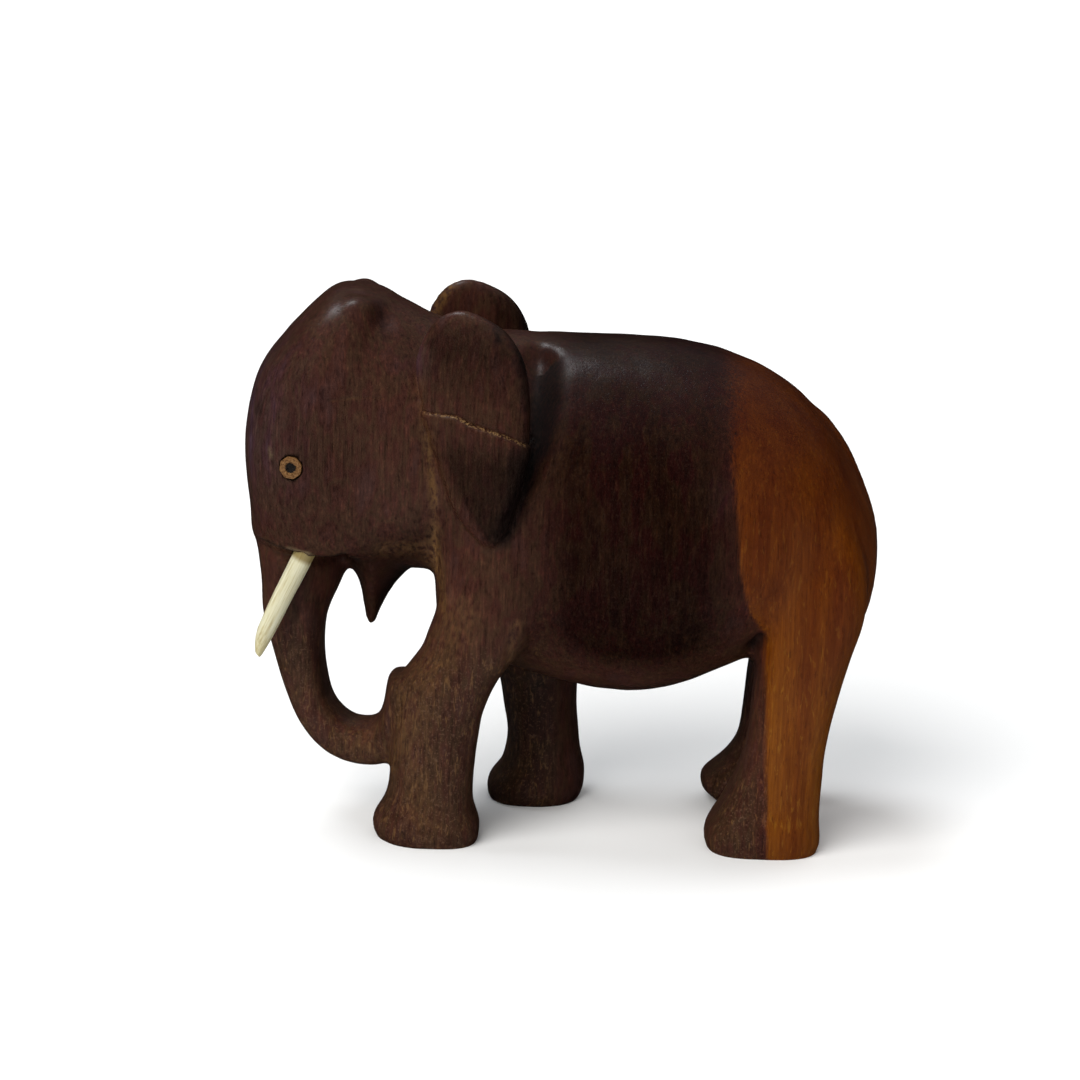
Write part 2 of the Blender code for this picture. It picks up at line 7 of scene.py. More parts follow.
import math
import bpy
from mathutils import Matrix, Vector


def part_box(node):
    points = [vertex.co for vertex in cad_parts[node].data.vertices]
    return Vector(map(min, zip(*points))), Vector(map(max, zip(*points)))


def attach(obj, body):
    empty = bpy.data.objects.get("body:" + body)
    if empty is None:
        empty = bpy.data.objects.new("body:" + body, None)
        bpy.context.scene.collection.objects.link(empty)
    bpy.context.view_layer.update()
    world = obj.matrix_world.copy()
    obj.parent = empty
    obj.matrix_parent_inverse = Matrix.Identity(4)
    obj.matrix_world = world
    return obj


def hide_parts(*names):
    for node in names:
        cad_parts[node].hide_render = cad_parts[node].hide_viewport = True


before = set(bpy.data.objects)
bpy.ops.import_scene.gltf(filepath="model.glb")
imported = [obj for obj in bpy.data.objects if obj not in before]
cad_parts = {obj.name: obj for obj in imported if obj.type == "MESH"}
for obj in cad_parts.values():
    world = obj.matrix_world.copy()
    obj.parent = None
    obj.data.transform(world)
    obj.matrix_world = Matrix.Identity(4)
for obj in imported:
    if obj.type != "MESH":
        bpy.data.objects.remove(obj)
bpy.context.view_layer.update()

from types import SimpleNamespace

import bmesh
import bpy
import numpy as np
from mathutils import Matrix, Vector, noise

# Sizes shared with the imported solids
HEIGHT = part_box("elephant")[1].z
DRAWN_HEIGHT = 150.0
TUSK_LENGTH = 0.0362
TUSK_DIAMETER = 0.0056
TUSK_SOCKET_DEPTH = 0.0065
EYE_DIAMETER = 0.0064
EYE_LENGTH = 0.0055
EYE_PROUD = 0.0005
EYE_SIDES = 8
PUPIL_DIAMETER = 0.0026
PUPIL_DEPTH = 0.0006
FIT_GAP = 0.0003
EYE_GAP = 0.00010

# Fineness of the carving
VOXEL = 0.9
RING_POINTS = 96
SECTION_STEP = 2.0
CARVING_TRIANGLES = 186000

# Places on the carving, in drawn units
FOOT_CENTRE_Y = 18.4
LEG_FOOTING = -6.0
TUSK_ROOT = (-64.4, 17.3, 76.8)
TUSK_POINT = (-77.2, 19.0, 50.2)
EYE_PLACE = (-66.9, 103.9)
EYE_OUTWARD = (-0.16, 1.0, 0.02)
OUTSIDE_Y = 60.0

LEFT, RIGHT = -1, 1


def through(rows, step=SECTION_STEP):
    """Rows of a smooth curve through the given rows, about a step apart."""
    rows = np.array(rows, float)
    travel = np.linalg.norm(np.diff(rows, axis=0), axis=1)
    at = np.concatenate([[0.0], np.cumsum(travel)])
    slopes = np.gradient(rows, at, axis=0)
    wanted = np.linspace(0, at[-1], max(3, round(at[-1] / step) + 1))
    i = np.clip(np.searchsorted(at, wanted, side="right") - 1, 0, len(at) - 2)
    span = (at[i + 1] - at[i])[:, None]
    t = (wanted - at[i])[:, None] / span
    return (
        rows[i] * (2 * t**3 - 3 * t**2 + 1)
        + slopes[i] * span * (t**3 - 2 * t**2 + t)
        + rows[i + 1] * (3 * t**2 - 2 * t**3)
        + slopes[i + 1] * span * (t**3 - t**2)
    )


def ring(centre, across, up, reach, squareness):
    """Points of a rounded section.

    reach is how far it goes along -across, +across, -up and +up. squareness is 2 for an
    ellipse and more for a squarer section, on the -across side and on the +across side.
    """
    back, front, down, top = np.maximum(reach, 0.02)
    turn = np.arange(RING_POINTS) * 2 * math.pi / RING_POINTS
    c, s = np.cos(turn), np.sin(turn)
    power = 2 / np.where(c < 0, squareness[0], squareness[1])
    u = np.sign(c) * np.abs(c) ** power * np.where(c < 0, back, front)
    v = np.sign(s) * np.abs(s) ** power * np.where(s < 0, down, top)
    return np.array(centre) + np.outer(u, across) + np.outer(v, up)


def add_loft(bm, rings):
    """Adds one closed skin over the rings."""
    loops = [[bm.verts.new(point) for point in points] for points in rings]
    faces = [bm.faces.new(loops[0]), bm.faces.new(loops[-1])]
    for first, second in zip(loops, loops[1:]):
        for i, (a, b) in enumerate(zip(first, second)):
            faces.append(bm.faces.new((a, first[i - 1], second[i - 1], b)))
    bmesh.ops.recalc_face_normals(bm, faces=faces)


def add_lengthwise(bm, rows):
    """Adds a mass of upright sections: x, bottom, widest z, top, half width, squareness."""
    rings = []
    for x, bottom, widest, top, half, square in through(rows):
        reach = (half, half, widest - bottom, top - widest)
        rings.append(ring((x, 0, widest), (0, 1, 0), (0, 0, 1), reach, (square, square)))
    add_loft(bm, rings)


def add_level(bm, rows):
    """Adds a mass of level sections: z, front, widest x, back, half width, squareness."""
    rings = []
    for z, front, widest, back, half, square in through(rows):
        reach = (widest - front, back - widest, half, half)
        rings.append(ring((widest, 0, z), (1, 0, 0), (0, 1, 0), reach, (square, square)))
    add_loft(bm, rings)


TRUNK = [
    (-65, 0, 92, 15, 12, 21, 2.6, 2),
    (-65.5, 0, 82, 13.5, 13.4, 19.6, 2.6, 1.6),
    (-66.5, 0, 76, 11.4, 14, 17.4, 2.6, 1.5),
    (-67, 0, 68, 9.7, 12.9, 14.8, 2.6, 1.7),
    (-67, 0, 58, 9.2, 8.9, 13, 2.6, 2.6),
    (-66.6, 0, 48, 6.7, 7.4, 11.8, 2.7, 3.2),
    (-64.6, 0, 38, 5.7, 6.5, 10.8, 2.8, 3.4),
    (-60.6, -0.5, 29, 5.7, 5.5, 10.2, 2.8, 3.2),
    (-54.2, -1.5, 23, 6, 5.5, 9.8, 2.8, 2.8),
    (-47, -4, 21.5, 6, 6.4, 9.7, 2.8, 2.6),
    (-40.5, -7, 23.4, 5.8, 6.8, 10.2, 2.8, 2.6),
    (-36.4, -10.5, 29.5, 6, 6.8, 10.8, 2.8, 2.6),
    (-35.2, -12.8, 36, 5, 6.3, 11, 2.8, 2.8),
    (-34.8, -13.8, 40, 4, 6.2, 10.8, 2.8, 2.8),
    (-34.4, -14, 42.4, 3, 6.4, 10.2, 2.8, 2.8),
    (-34, -14, 43.4, 2, 5, 9, 2.6, 2.6),
]


def add_trunk(bm):
    """Adds sections along the trunk's bent middle line: x, y, z, reach to the front and to
    the rear, half width, squareness of the front and of the rear."""
    rows = through(TRUNK)
    tangents = np.gradient(rows[:, :3], axis=0)
    rings = []
    for (x, y, z, front, rear, half, *square), tangent in zip(rows, tangents):
        inward = Vector(tangent).cross((0, 1, 0)).normalized()
        rings.append(ring((x, y, z), inward, (0, 1, 0), (front, rear, half, half), square))
    add_loft(bm, rings)


# Rows of upright sections for add_lengthwise()
TORSO = [
    (-28.4, 66, 104, 137, 21, 2.2),
    (-27, 56, 101, 138.5, 25.5, 2.2),
    (-20, 48.5, 94, 138, 28.5, 2.2),
    (-8, 45.2, 90, 138, 31, 2.2),
    (8, 41.2, 86, 137.7, 34, 2.3),
    (23, 39.2, 84, 137.5, 36, 2.3),
    (37, 40.9, 84, 136.7, 36.5, 2.3),
    (50, 46.4, 86, 133.8, 36, 2.3),
    (64, 52, 86, 127.7, 34, 2.2),
    (76, 52, 84, 117.5, 29.5, 2.2),
    (84.2, 55, 82, 105.6, 23.5, 2.1),
    (89, 60, 80, 96.2, 17, 2),
    (91.9, 68, 79, 87, 10, 2),
    (93.1, 77, 78, 79, 2, 2),
]

NECK = [
    (-62, 86, 108, 139, 22, 2.5),
    (-52, 78, 108, 147, 25, 2.6),
    (-44, 74.5, 106, 147.6, 26, 2.5),
    (-37, 72, 104, 144.9, 26.4, 2.3),
    (-29, 71.6, 102, 141.2, 27, 2.2),
    (-18, 68, 100, 139.2, 28, 2.1),
    (-4, 68, 96, 136.5, 27, 2.1),
]

# Rows of level sections for add_level()
HEAD = [
    (149.9, -55.5, -52, -49, 5, 2),
    (149, -57.7, -52, -44.6, 11, 2.1),
    (146.9, -60.5, -54, -41.4, 16.5, 2.3),
    (143.2, -64.4, -55, -40.3, 20.6, 2.4),
    (135, -71.7, -57, -40.5, 24, 2.4),
    (127, -77.3, -58, -39, 25.8, 2.4),
    (118.5, -79.9, -58, -36, 26.6, 2.5),
    (108, -81.3, -57, -33, 27, 2.6),
    (97, -80.9, -56, -31, 26.2, 2.6),
    (88, -79.8, -55, -30, 24.4, 2.6),
    (81.5, -79.4, -54, -31, 22.2, 2.6),
    (78.6, -78.6, -54, -33, 20.8, 2.6),
    (77.4, -77.4, -54, -36, 19, 2.6),
]

JAW = [
    (88, -60, -46, -31, 23, 1.8),
    (80, -57.5, -46, -31, 21, 1.5),
    (75, -55.2, -46, -32, 17.2, 1.25),
    (69.5, -51.4, -46, -36.4, 12.4, 1.15),
    (65.3, -49.7, -46, -39.8, 9.2, 1.1),
    (61, -48.9, -46, -42.3, 6.6, 1.15),
    (57, -48.1, -46, -44.3, 4.2, 1.3),
    (53.2, -47.2, -46, -45.2, 1.9, 1.8),
]


def add_leg(bm, side, sections, squareness):
    """Adds a leg of level sections: z, front, back, inner half width, outer half width."""
    rows = [(LEG_FOOTING, *sections[0][1:]), *sections]
    rings = []
    for z, front, back, inner, outer in through(rows):
        middle = (front + back) / 2
        half = (back - front) / 2
        reach = (half, half, outer, inner) if side == LEFT else (half, half, inner, outer)
        centre = (middle, side * FOOT_CENTRE_Y, z)
        rings.append(ring(centre, (1, 0, 0), (0, 1, 0), reach, squareness))
    add_loft(bm, rings)


NEAR_FRONT_LEG = [
    (-1, -42, -15.1, 12, 13.2),
    (0.6, -43.4, -14.4, 13.3, 14.3),
    (2.6, -44.3, -14, 14, 14.9),
    (5.8, -43.6, -15.1, 13.9, 14.1),
    (9.4, -41.2, -16.4, 12.9, 13.4),
    (13, -39.9, -16.6, 12.4, 13.1),
    (19, -39.3, -16.4, 12.2, 13),
    (28, -38.7, -15.3, 12.6, 13.3),
    (37, -38, -13.8, 14, 13.7),
    (45, -37, -10.6, 15.8, 14),
    (49, -34.4, -8.2, 16.6, 14.2),
    (53, -31.4, -4.5, 17, 14.3),
    (58, -29.8, -1.5, 17, 14.3),
    (66, -27.4, 2, 16.5, 14),
    (76, -27.4, 4, 15.5, 13.2),
    (88, -26, 5, 13, 11.5),
    (98, -23, 3, 9, 8.5),
]

FAR_FRONT_LEG = [
    (-1, -11.6, 12.2, 12, 12.2),
    (0.6, -12.9, 13.8, 13.3, 13.5),
    (2.6, -13.6, 14.5, 14, 14.2),
    (5.8, -12.2, 14.9, 13.9, 14.1),
    (9.4, -9.2, 14.6, 12.9, 13.4),
    (13, -8.2, 13.6, 12.4, 13.1),
    (19, -7.6, 12.8, 12.2, 13),
    (28, -9.1, 12, 12.6, 13.3),
    (37, -10.7, 11.9, 14, 13.7),
    (45, -13.7, 11.3, 15.8, 14),
    (53, -18, 10.5, 17, 14.3),
    (62, -22.5, 10, 17, 14.2),
    (74, -25.5, 8.5, 16, 13.5),
    (88, -26, 6, 13, 11.5),
    (98, -23, 3, 9, 8.5),
]

NEAR_REAR_LEG = [
    (-1, 49, 78.4, 12.2, 13.8),
    (0.6, 48, 79.4, 13.4, 14.4),
    (2.6, 47.3, 80, 14.1, 14.6),
    (5.8, 48.6, 79.4, 14, 14.6),
    (12, 52.2, 79.1, 12.9, 13.6),
    (19, 55.4, 79.3, 12.4, 13.4),
    (27, 57.8, 79.7, 12.4, 13.4),
    (36, 59, 81, 12.8, 13.8),
    (47, 59.6, 83.3, 14.2, 14.2),
    (55, 60, 85.4, 16, 14.3),
    (66, 59, 88.6, 17, 14.2),
    (80, 53, 88.4, 15, 13),
    (96, 52, 82, 10, 9.5),
]

FAR_REAR_LEG = [
    (-1, 54.5, 78, 12.2, 12.2),
    (0.6, 53, 79.2, 12.9, 13.4),
    (2.6, 50, 79.8, 13.5, 14.1),
    (4.6, 47.9, 79.6, 13.6, 14.1),
    (7, 47.7, 79.4, 13.4, 14),
    (9.2, 49.8, 79.2, 13.2, 13.8),
    (13.5, 54.6, 79.1, 12.8, 13.4),
    (19, 58.1, 79.3, 12.4, 13.2),
    (27, 59.3, 79.7, 12.4, 13.2),
    (36, 60, 81, 12.8, 13.6),
    (47, 60.8, 83.3, 14.2, 14.1),
    (55, 60.4, 85.4, 16, 14.3),
    (66, 58.5, 88.6, 17, 14.2),
    (80, 53, 88.4, 15, 13),
    (96, 52, 82, 10, 9.5),
]


EAR = [
    (147.8, -23.8, 26, -21, 26.5, 0.5, 1.5),
    (147, -26.6, 25.6, -18.4, 27.5, 1.2, 2.8),
    (145.4, -28.9, 25.2, -15, 28.3, 1.8, 3.6),
    (143.2, -30.9, 25, -11.2, 29.2, 2.4, 4.2),
    (139.5, -32.9, 24.8, -7.9, 30.4, 3, 4.8),
    (134, -34.6, 24.9, -5.2, 31.6, 3.4, 5.2),
    (126.5, -34.1, 25.4, -4, 32.6, 3.8, 5.4),
    (118.5, -31.9, 26.2, -3.7, 33.2, 4, 5.2),
    (110, -28.9, 27.4, -3.8, 33.4, 3.9, 4.8),
    (102.4, -26.3, 28.6, -5.1, 33.4, 3.5, 4.4),
    (95, -23.6, 29.8, -7.2, 33.2, 2.7, 3.8),
    (89, -19.4, 30.9, -9.4, 32.8, 1.6, 3),
    (84.8, -14, 31.4, -12.2, 31.8, 0.4, 1.5),
]


def add_ear(bm, side):
    """Adds a leaf of level sections, each round its chord from the front edge to the rear.

    Its rows are z, front x and y, rear x and y, the bulge outward and the thickness inward.
    """
    rows = through(EAR)
    rings = []
    for z, front_x, front_y, rear_x, rear_y, bulge, thick in rows:
        front = Vector((front_x, side * front_y, z))
        rear = Vector((rear_x, side * rear_y, z))
        along = (rear - front).normalized()
        outward = along.cross((0, 0, -side))
        chord = (rear - front).length
        centre = front + along * chord * 0.62
        reach = (chord * 0.62, chord * 0.38, thick, bulge)
        rings.append(ring(centre, along, outward, reach, (1.8, 3.0)))
    add_loft(bm, rings)


TAIL = [
    (70, 121.4, 1, 3.4),
    (75.4, 117, 1.6, 3.3),
    (79.3, 112, 1.9, 3),
    (83.2, 106, 2, 2.7),
    (87.3, 97.2, 2, 2.5),
    (89.9, 89.9, 2, 2.4),
    (91.4, 82, 2, 2.3),
    (91.6, 77, 1.9, 2.3),
    (91.2, 70, 1.7, 2.8),
    (89.9, 63, 1.5, 3.4),
    (88.2, 57.5, 1.1, 3),
    (86.6, 53.6, 0.5, 1.6),
]


def add_tail(bm):
    """Adds a low tail down the rump, ending in a slightly wider tuft.

    Its rows are x, z, half thickness and half width.
    """
    rows = through(TAIL)
    tangents = np.gradient(rows[:, :2], axis=0)
    rings = []
    for (x, z, thick, wide), (run, rise) in zip(rows, tangents):
        outward = Vector((-rise, 0, run)).normalized()
        reach = (thick, thick, wide, wide)
        rings.append(ring((x, 0, z), outward, (0, 1, 0), reach, (2.2, 2.2)))
    add_loft(bm, rings)


def points_of(mesh):
    flat = np.empty(len(mesh.vertices) * 3)
    mesh.vertices.foreach_get("co", flat)
    return flat.reshape(-1, 3)


def pairs_of(mesh):
    flat = np.empty(len(mesh.edges) * 2, np.int32)
    mesh.edges.foreach_get("vertices", flat)
    return flat.reshape(-1, 2)


def move_points(mesh, points):
    mesh.vertices.foreach_set("co", points.ravel())
    mesh.update()


def relax(points, pairs, repeats, weight=0.5):
    """Moves each point part of the way to the middle of its neighbours, again and again."""
    total = len(points)
    ends = np.concatenate([pairs, pairs[:, ::-1]])
    share = np.bincount(ends[:, 0], minlength=total)
    weight = np.broadcast_to(weight, total) / share
    for _ in range(repeats):
        pull = [np.bincount(ends[:, 0], points[ends[:, 1], i], total) for i in range(3)]
        points = points + (np.stack(pull, 1) - points * share[:, None]) * weight[:, None]
    return points


def fade(distance, reach):
    """1 at no distance, smoothly down to 0 at the reach and beyond."""
    t = np.clip(1 - distance / reach, 0, 1)
    return t * t * (3 - 2 * t)


def folded(points):
    """The points with the left flank laid over the right one."""
    return np.stack([points[:, 0], np.abs(points[:, 1]), points[:, 2]], 1)


def soften(points, pairs, spots):
    """Blends the surface inside round spots, the same on both flanks.

    Each spot is x, distance from the middle plane, z, radius and how much.
    """
    for x, y, z, radius, repeats in spots:
        away = np.linalg.norm(folded(points) - (x, y, z), axis=1)
        points = relax(points, pairs, repeats, 0.5 * fade(away, radius))
    return points


def along_stroke(points, path):
    """Distance of each point to the path seen from the side, and how far along it that is."""
    path = np.array(path, float)
    best = np.full(len(points), np.inf)
    place = np.zeros(len(points))
    flat = points[:, [0, 2]]
    for i, (start, end) in enumerate(zip(path, path[1:])):
        step = end - start
        t = np.clip((flat - start) @ step / (step @ step), 0, 1)
        away = np.linalg.norm(flat - start - t[:, None] * step, axis=1)
        nearer = away < best
        best[nearer] = away[nearer]
        place[nearer] = (i + t[nearer]) / (len(path) - 1)
    return best, place


def carve(points, path, width, depth, side=None, least_y=4.0):
    """Sinks a groove into the flank along a path of (x, z) points, or raises a ridge.

    width and depth are given at the start, the middle and the end of the path, and a
    negative depth raises the surface. Both flanks are carved, unless side says which one.
    """
    away, place = along_stroke(points, path)
    reach = np.interp(place, (0, 0.5, 1), width)
    deep = np.interp(place, (0, 0.5, 1), depth) * fade(away, reach)
    deep = deep * np.clip(np.abs(points[:, 1]) / least_y, 0, 1)
    if side is not None:
        deep = np.where(np.sign(points[:, 1]) == side, deep, 0)
    moved = points.copy()
    moved[:, 1] -= np.sign(points[:, 1]) * deep
    return moved


# Where the masses are blended, as soften() takes it
BLENDS = [
    (-12, 31, 74, 24, 40),
    (-48, 24, 110, 26, 40),
    (-38, 20, 78, 12, 60),
    (-50, 20, 78, 7, 25),
    (-38, 22, 30, 9, 25),
    (66, 31, 78, 30, 80),
    (76, 22, 98, 20, 30),
    (-40, 20, 132, 15, 25),
    (-34, 16, 76, 9, 12),
    (-30, 26, 110, 16, 25),
]

# Carved strokes, as (x, z) seen from the side
EAR_BED = [(-2, 131), (-2, 123), (-2.6, 116), (-4, 109), (-5.5, 102), (-8, 95), (-11, 87)]
EAR_FRONT = [(-35.5, 138), (-35, 128), (-31.5, 116), (-29, 106), (-28.5, 96), (-28.5, 84)]
BELLY_CREASE = [(-6, 49), (-6.6, 55), (-7.2, 61)]
HIP_CREASE = [(58.5, 57), (60.5, 62.5), (61.8, 66)]
UNDER_LIP = [(-80, 79.6), (-70.1, 77.4), (-64.7, 76.6), (-58.8, 75.4), (-53.5, 76.8)]
TRUNK_SEAM = [(-38.6, 38), (-39.2, 29), (-40.5, 22), (-41.0, 17)]
EAR_CRACK = [(-31.5, 120.2), (-23.2, 120.2), (-19.3, 118.5), (-10, 116.1), (-3.6, 113.4)]

# The temples and the hollow behind them, as swell() takes them
TEMPLES = [(-49.6, 15.5, 145.4, 7, 2.1), (-43, 16.5, 143.8, 5, -2.2), (-51, 10.5, 149, 5, -0.7)]


def swell(points, spots):
    """Raises round spots up and outward, or sinks them, the same on both flanks.

    Each spot is x, distance from the middle plane, z, radius and rise.
    """
    moved = points.copy()
    for x, y, z, radius, rise in spots:
        push = rise * fade(np.linalg.norm(folded(points) - (x, y, z), axis=1), radius)
        moved[:, 1] += np.sign(points[:, 1]) * 0.7 * push
        moved[:, 2] += 0.7 * push
    return moved


def weld(obj, repeats):
    """Makes the object's overlapping skins one even surface and takes off its steps."""
    remesh = obj.modifiers.new("weld", "REMESH")
    remesh.mode = "VOXEL"
    remesh.voxel_size = VOXEL
    bake(obj)
    move_points(obj.data, relax(points_of(obj.data), pairs_of(obj.data), repeats))


def bake(obj):
    """Gives the object the mesh that its modifiers make, and removes them."""
    graph = bpy.context.evaluated_depsgraph_get()
    baked = bpy.data.meshes.new_from_object(obj.evaluated_get(graph))
    obj.modifiers.clear()
    obj.data = baked


def to_object(bm, name):
    mesh = bpy.data.meshes.new(name)
    bm.to_mesh(mesh)
    bm.free()
    made = bpy.data.objects.new(name, mesh)
    bpy.context.scene.collection.objects.link(made)
    return made


def carved_body():
    """The body without its ears, with its limbs blended in and a bed cut for each ear."""
    bm = bmesh.new()
    add_lengthwise(bm, TORSO)
    add_lengthwise(bm, NECK)
    add_level(bm, HEAD)
    add_level(bm, JAW)
    add_trunk(bm)
    add_leg(bm, LEFT, NEAR_FRONT_LEG, (2.0, 3.2))
    add_leg(bm, RIGHT, FAR_FRONT_LEG, (2.6, 2.2))
    add_leg(bm, LEFT, NEAR_REAR_LEG, (3.2, 2.9))
    add_leg(bm, RIGHT, FAR_REAR_LEG, (2.4, 2.6))
    body = to_object(bm, "elephant")
    weld(body, 8)
    points, pairs = points_of(body.data), pairs_of(body.data)
    points = soften(points, pairs, BLENDS)
    points = carve(points, EAR_BED, (8.5, 7, 4), (7.5, 4.2, 0.4))
    points = swell(points, TEMPLES)
    points = carve(points, UNDER_LIP, (2.6, 3.0, 2.6), (0.6, 1.6, 2.0))
    points = carve(points, EAR_FRONT, (4, 4, 4), (0.4, 0.8, 0.5))
    points = carve(points, BELLY_CREASE, (3, 3, 3), (1.6, 1.4, 0))
    points = carve(points, HIP_CREASE, (4, 3.5, 3), (1.6, 1.2, 0))
    points = carve(points, TRUNK_SEAM, (2.5, 2.5, 2.5), (0.2, 0.6, 0.4), LEFT)
    move_points(body.data, points)
    return body


def rough_out():
    body = carved_body()
    bm = bmesh.new()
    bm.from_mesh(body.data)
    for side in (LEFT, RIGHT):
        add_ear(bm, side)
    add_tail(bm)
    bm.to_mesh(body.data)
    bm.free()
    weld(body, 5)
    points = carve(points_of(body.data), UNDER_LIP, (1.8, 2.4, 2.6), (0.7, 1.5, 1.8))
    points = carve(points, EAR_CRACK, (1.3, 1.4, 1.3), (0.5, 0.7, 0.5), LEFT, 24)
    move_points(body.data, points)
    return body


# Finer strokes, as (x, z) seen from the side
HEAD_SEAM = [(-34.3, 129), (-31.1, 115.6), (-28.6, 96.6), (-28.4, 84), (-25.5, 66)]
LIP_LINE = [(-75.0, 81.3), (-64.7, 78.9), (-58.8, 77.6), (-52.8, 79.3)]
BROW_SCRATCH = [(-57, 122.3), (-50, 123.2), (-42.5, 123.2)]
CURL_SEAM = [(-36.4, 41), (-36.3, 28), (-38.6, 20)]
BELLY_SEAM = [(-5.6, 64), (-7.2, 58), (-7.8, 51)]
HIP_PIT = [(58.2, 58.5), (60.2, 61.5)]
TRENCH = [(-0.5, 129.5), (-0.3, 124), (-1.6, 115), (-3.6, 104), (-7.0, 94), (-10, 88)]
FAR_EAR_BEVEL = [(-32.5, 136), (-30.2, 140.5), (-26.5, 146.2)]
CROWN_DIP = [(-47.5, 151), (-43.5, 150)]

# Where only the ears reach out, and where the lips end
EAR_Y = 24
LIP_Y = 8
LIP_END_X = -51.6

# Strokes that need finer faces: path, width, and flank or None for both
FINE_PLACES = [
    (EAR_CRACK, 2.4, LEFT),
    (LIP_LINE, 2.6, None),
    (HEAD_SEAM, 1.6, None),
    (BROW_SCRATCH, 1.2, LEFT),
    (CURL_SEAM, 1.8, LEFT),
]

# Shallow cuts: depth, whether the depth wanders, path, width, flank and least_y of stroke()
CUTS = [
    (0.30, True, HEAD_SEAM, 1.2),
    (0.10, False, BROW_SCRATCH, 0.6, LEFT),
    (0.20, True, CURL_SEAM, 1.2, LEFT),
    (0.35, False, BELLY_SEAM, 1.4),
    (0.80, False, HIP_PIT, 2),
    (0.60, False, CROWN_DIP, 3.4, None, 0),
]

# Round dents: depth, centre and radius. A negative depth is a bump.
DENTS = [
    (0.90, (-53.2, -18.5, 79), 1.7),
    (0.90, (48.2, 7.6, 4.6), 2.6),
    (0.35, (-34.9, -32.4, 3.8), 1.3),
    (0.30, (-76.1, -14, 118.1), 1.6),
    (0.25, (-72.6, -20, 106.9), 1.4),
    (-0.50, (-62.4, -19.5, 78.6), 2),
    (-0.70, (-50.5, -15.5, 144.5), 5.5),
    (-0.70, (-50.5, 15.5, 144.5), 5.5),
]

# Lines of (z, value): the front edge of the sapwood as x and how softly it ends, how light
# the worn wood is off the ears and on them, and the front and rear edges of the ears as x.
# Off the ears the wood darkens higher up, partly as the legs' paler wear and partly as
# painted shade. On the ears the top rims are lightened as a painted sheen.
SAPWOOD_EDGE = [(0, 64.5), (51, 61.8), (62.5, 61.2), (70, 56.4), (82, 53.5), (112, 50.1), (132, 51.2)]
SAPWOOD_BLUR = [(0, 0.9), (60, 1.1), (112, 1.5), (138, 6)]
BODY_TONE_AND_SHADE = [(0, 0.76), (40, 0.76), (66, 0.70), (84, 0.64), (112, 0.56)]
EAR_TONE_AND_RIM_SHEEN = [(88, 0.22), (108, 0.26), (114, 0.54), (122, 0.56), (138, 0.28), (144, 0.36), (148, 0.75)]
EAR_FRONT_EDGE = [(85, -15), (100, -24), (120, -33)]
EAR_REAR_EDGE = [(85, -13), (92, -7), (108, -1)]

# Lines of (share of the path, strength)
CRACK_STRENGTH = [(0, 0.5), (0.25, 0.7), (0.4, 1), (0.7, 0.8), (1, 0.4)]
SEAM_GOLD = [(0, 0.15), (0.25, 0.4), (0.5, 0.85), (0.6, 0.4), (0.8, 1.0), (1, 0.5)]

# Strokes of colour: strength, path, width, flank and least_y of stroke()
GOLD_STROKES = [
    (0.22, BROW_SCRATCH, 0.6, LEFT),
    (0.45, CURL_SEAM, 2.2, LEFT),
    (0.90, FAR_EAR_BEVEL, 2, RIGHT),
    (0.50, BELLY_SEAM, 2.6),
    (0.35, LIP_LINE, 1.4),
    (0.40, [(-41.5, 81), (-32, 82), (-29.5, 76)], 4.5),
    (0.30, [(-20, 66), (-28, 50), (-33, 30), (-30, 8)], 9),
]
# Painted shade: the trench behind each ear and its top, the hip pit, the ears' rear edges, the hollow
# behind the temples and the trunk's rear facet. The other rows darken small dents with dark knots,
# the small hole at the near lip's end and a spot near the near ear's top.
SHADE_AND_KNOT_STROKES = [
    (1.00, TRENCH, 5, None, 14),
    (0.90, HIP_PIT, 3),
    (0.55, [(-7.3, 111.3), (-6.9, 99.2), (-9, 92)], 4.2, None, EAR_Y),
    (0.60, [(-8, 143), (-5.4, 135), (-4.8, 124)], 2.6, None, EAR_Y),
    (0.75, [(-5, 135), (2.5, 134), (3.5, 124), (0, 112)], 5, None, 14),
    (0.60, [(-12.5, 141), (-13, 144)], 2.0, LEFT, EAR_Y),
    (0.30, [(-44.6, 146.5), (-43.2, 139)], 2.6, None, 10),
    (0.80, [(-34.9, 3.4), (-34.8, 4.2)], 1.5, LEFT),
    (0.80, [(-76.1, 117), (-76.1, 119)], 1.6, LEFT),
    (0.90, [(-53.8, 78.8), (-52.6, 79.2)], 1.3, LEFT),
    (0.90, LIP_LINE, 0.9, None, LIP_Y),
    (0.55, [(-60.3, 64), (-61.5, 52), (-58.6, 36)], 2.4, None, 0),
]
PUTTY_STROKES = [
    (1.00, [(-62.4, 78.9), (-60.6, 77.4)], 1.3, LEFT),
    (0.70, [(-68, 80.2), (-63, 79.3)], 0.9, LEFT),
    (0.60, [(-72.8, 107.6), (-72.4, 106.2)], 0.9, LEFT),
    (0.50, [(-60.8, 76.4), (-56, 75.6), (-52.4, 77.6)], 0.6, LEFT),
]

# Round spots of colour: strength, centre and radius
GOLD_SPOTS = [(0.35, (-44, -14, 20), 14), (0.30, (-6, 18, 14), 16)]
# Painted shade under the throat between the front legs, and under the belly behind the far front leg
PAINTED_SHADE_SPOTS = [(0.55, (-42, 0, 66), 12), (0.50, (-1, 20, 46), 14)]
# Painted cool sheen on the ears' front edges and on two spots of each flank
PAINTED_SHEEN_SPOTS = [(1, (-34, 25, 134), 9), (1, (16, 34, 119), 13), (1, (45, 36, 102), 10)]


def on_line(at, line):
    """The second numbers of a line's points, read at the given first numbers."""
    return np.interp(at, *zip(*line))


def near(points, centre, radius):
    """1 at the centre, down to 0 at the radius."""
    return fade(np.linalg.norm(points - np.array(centre, float), axis=1), radius)


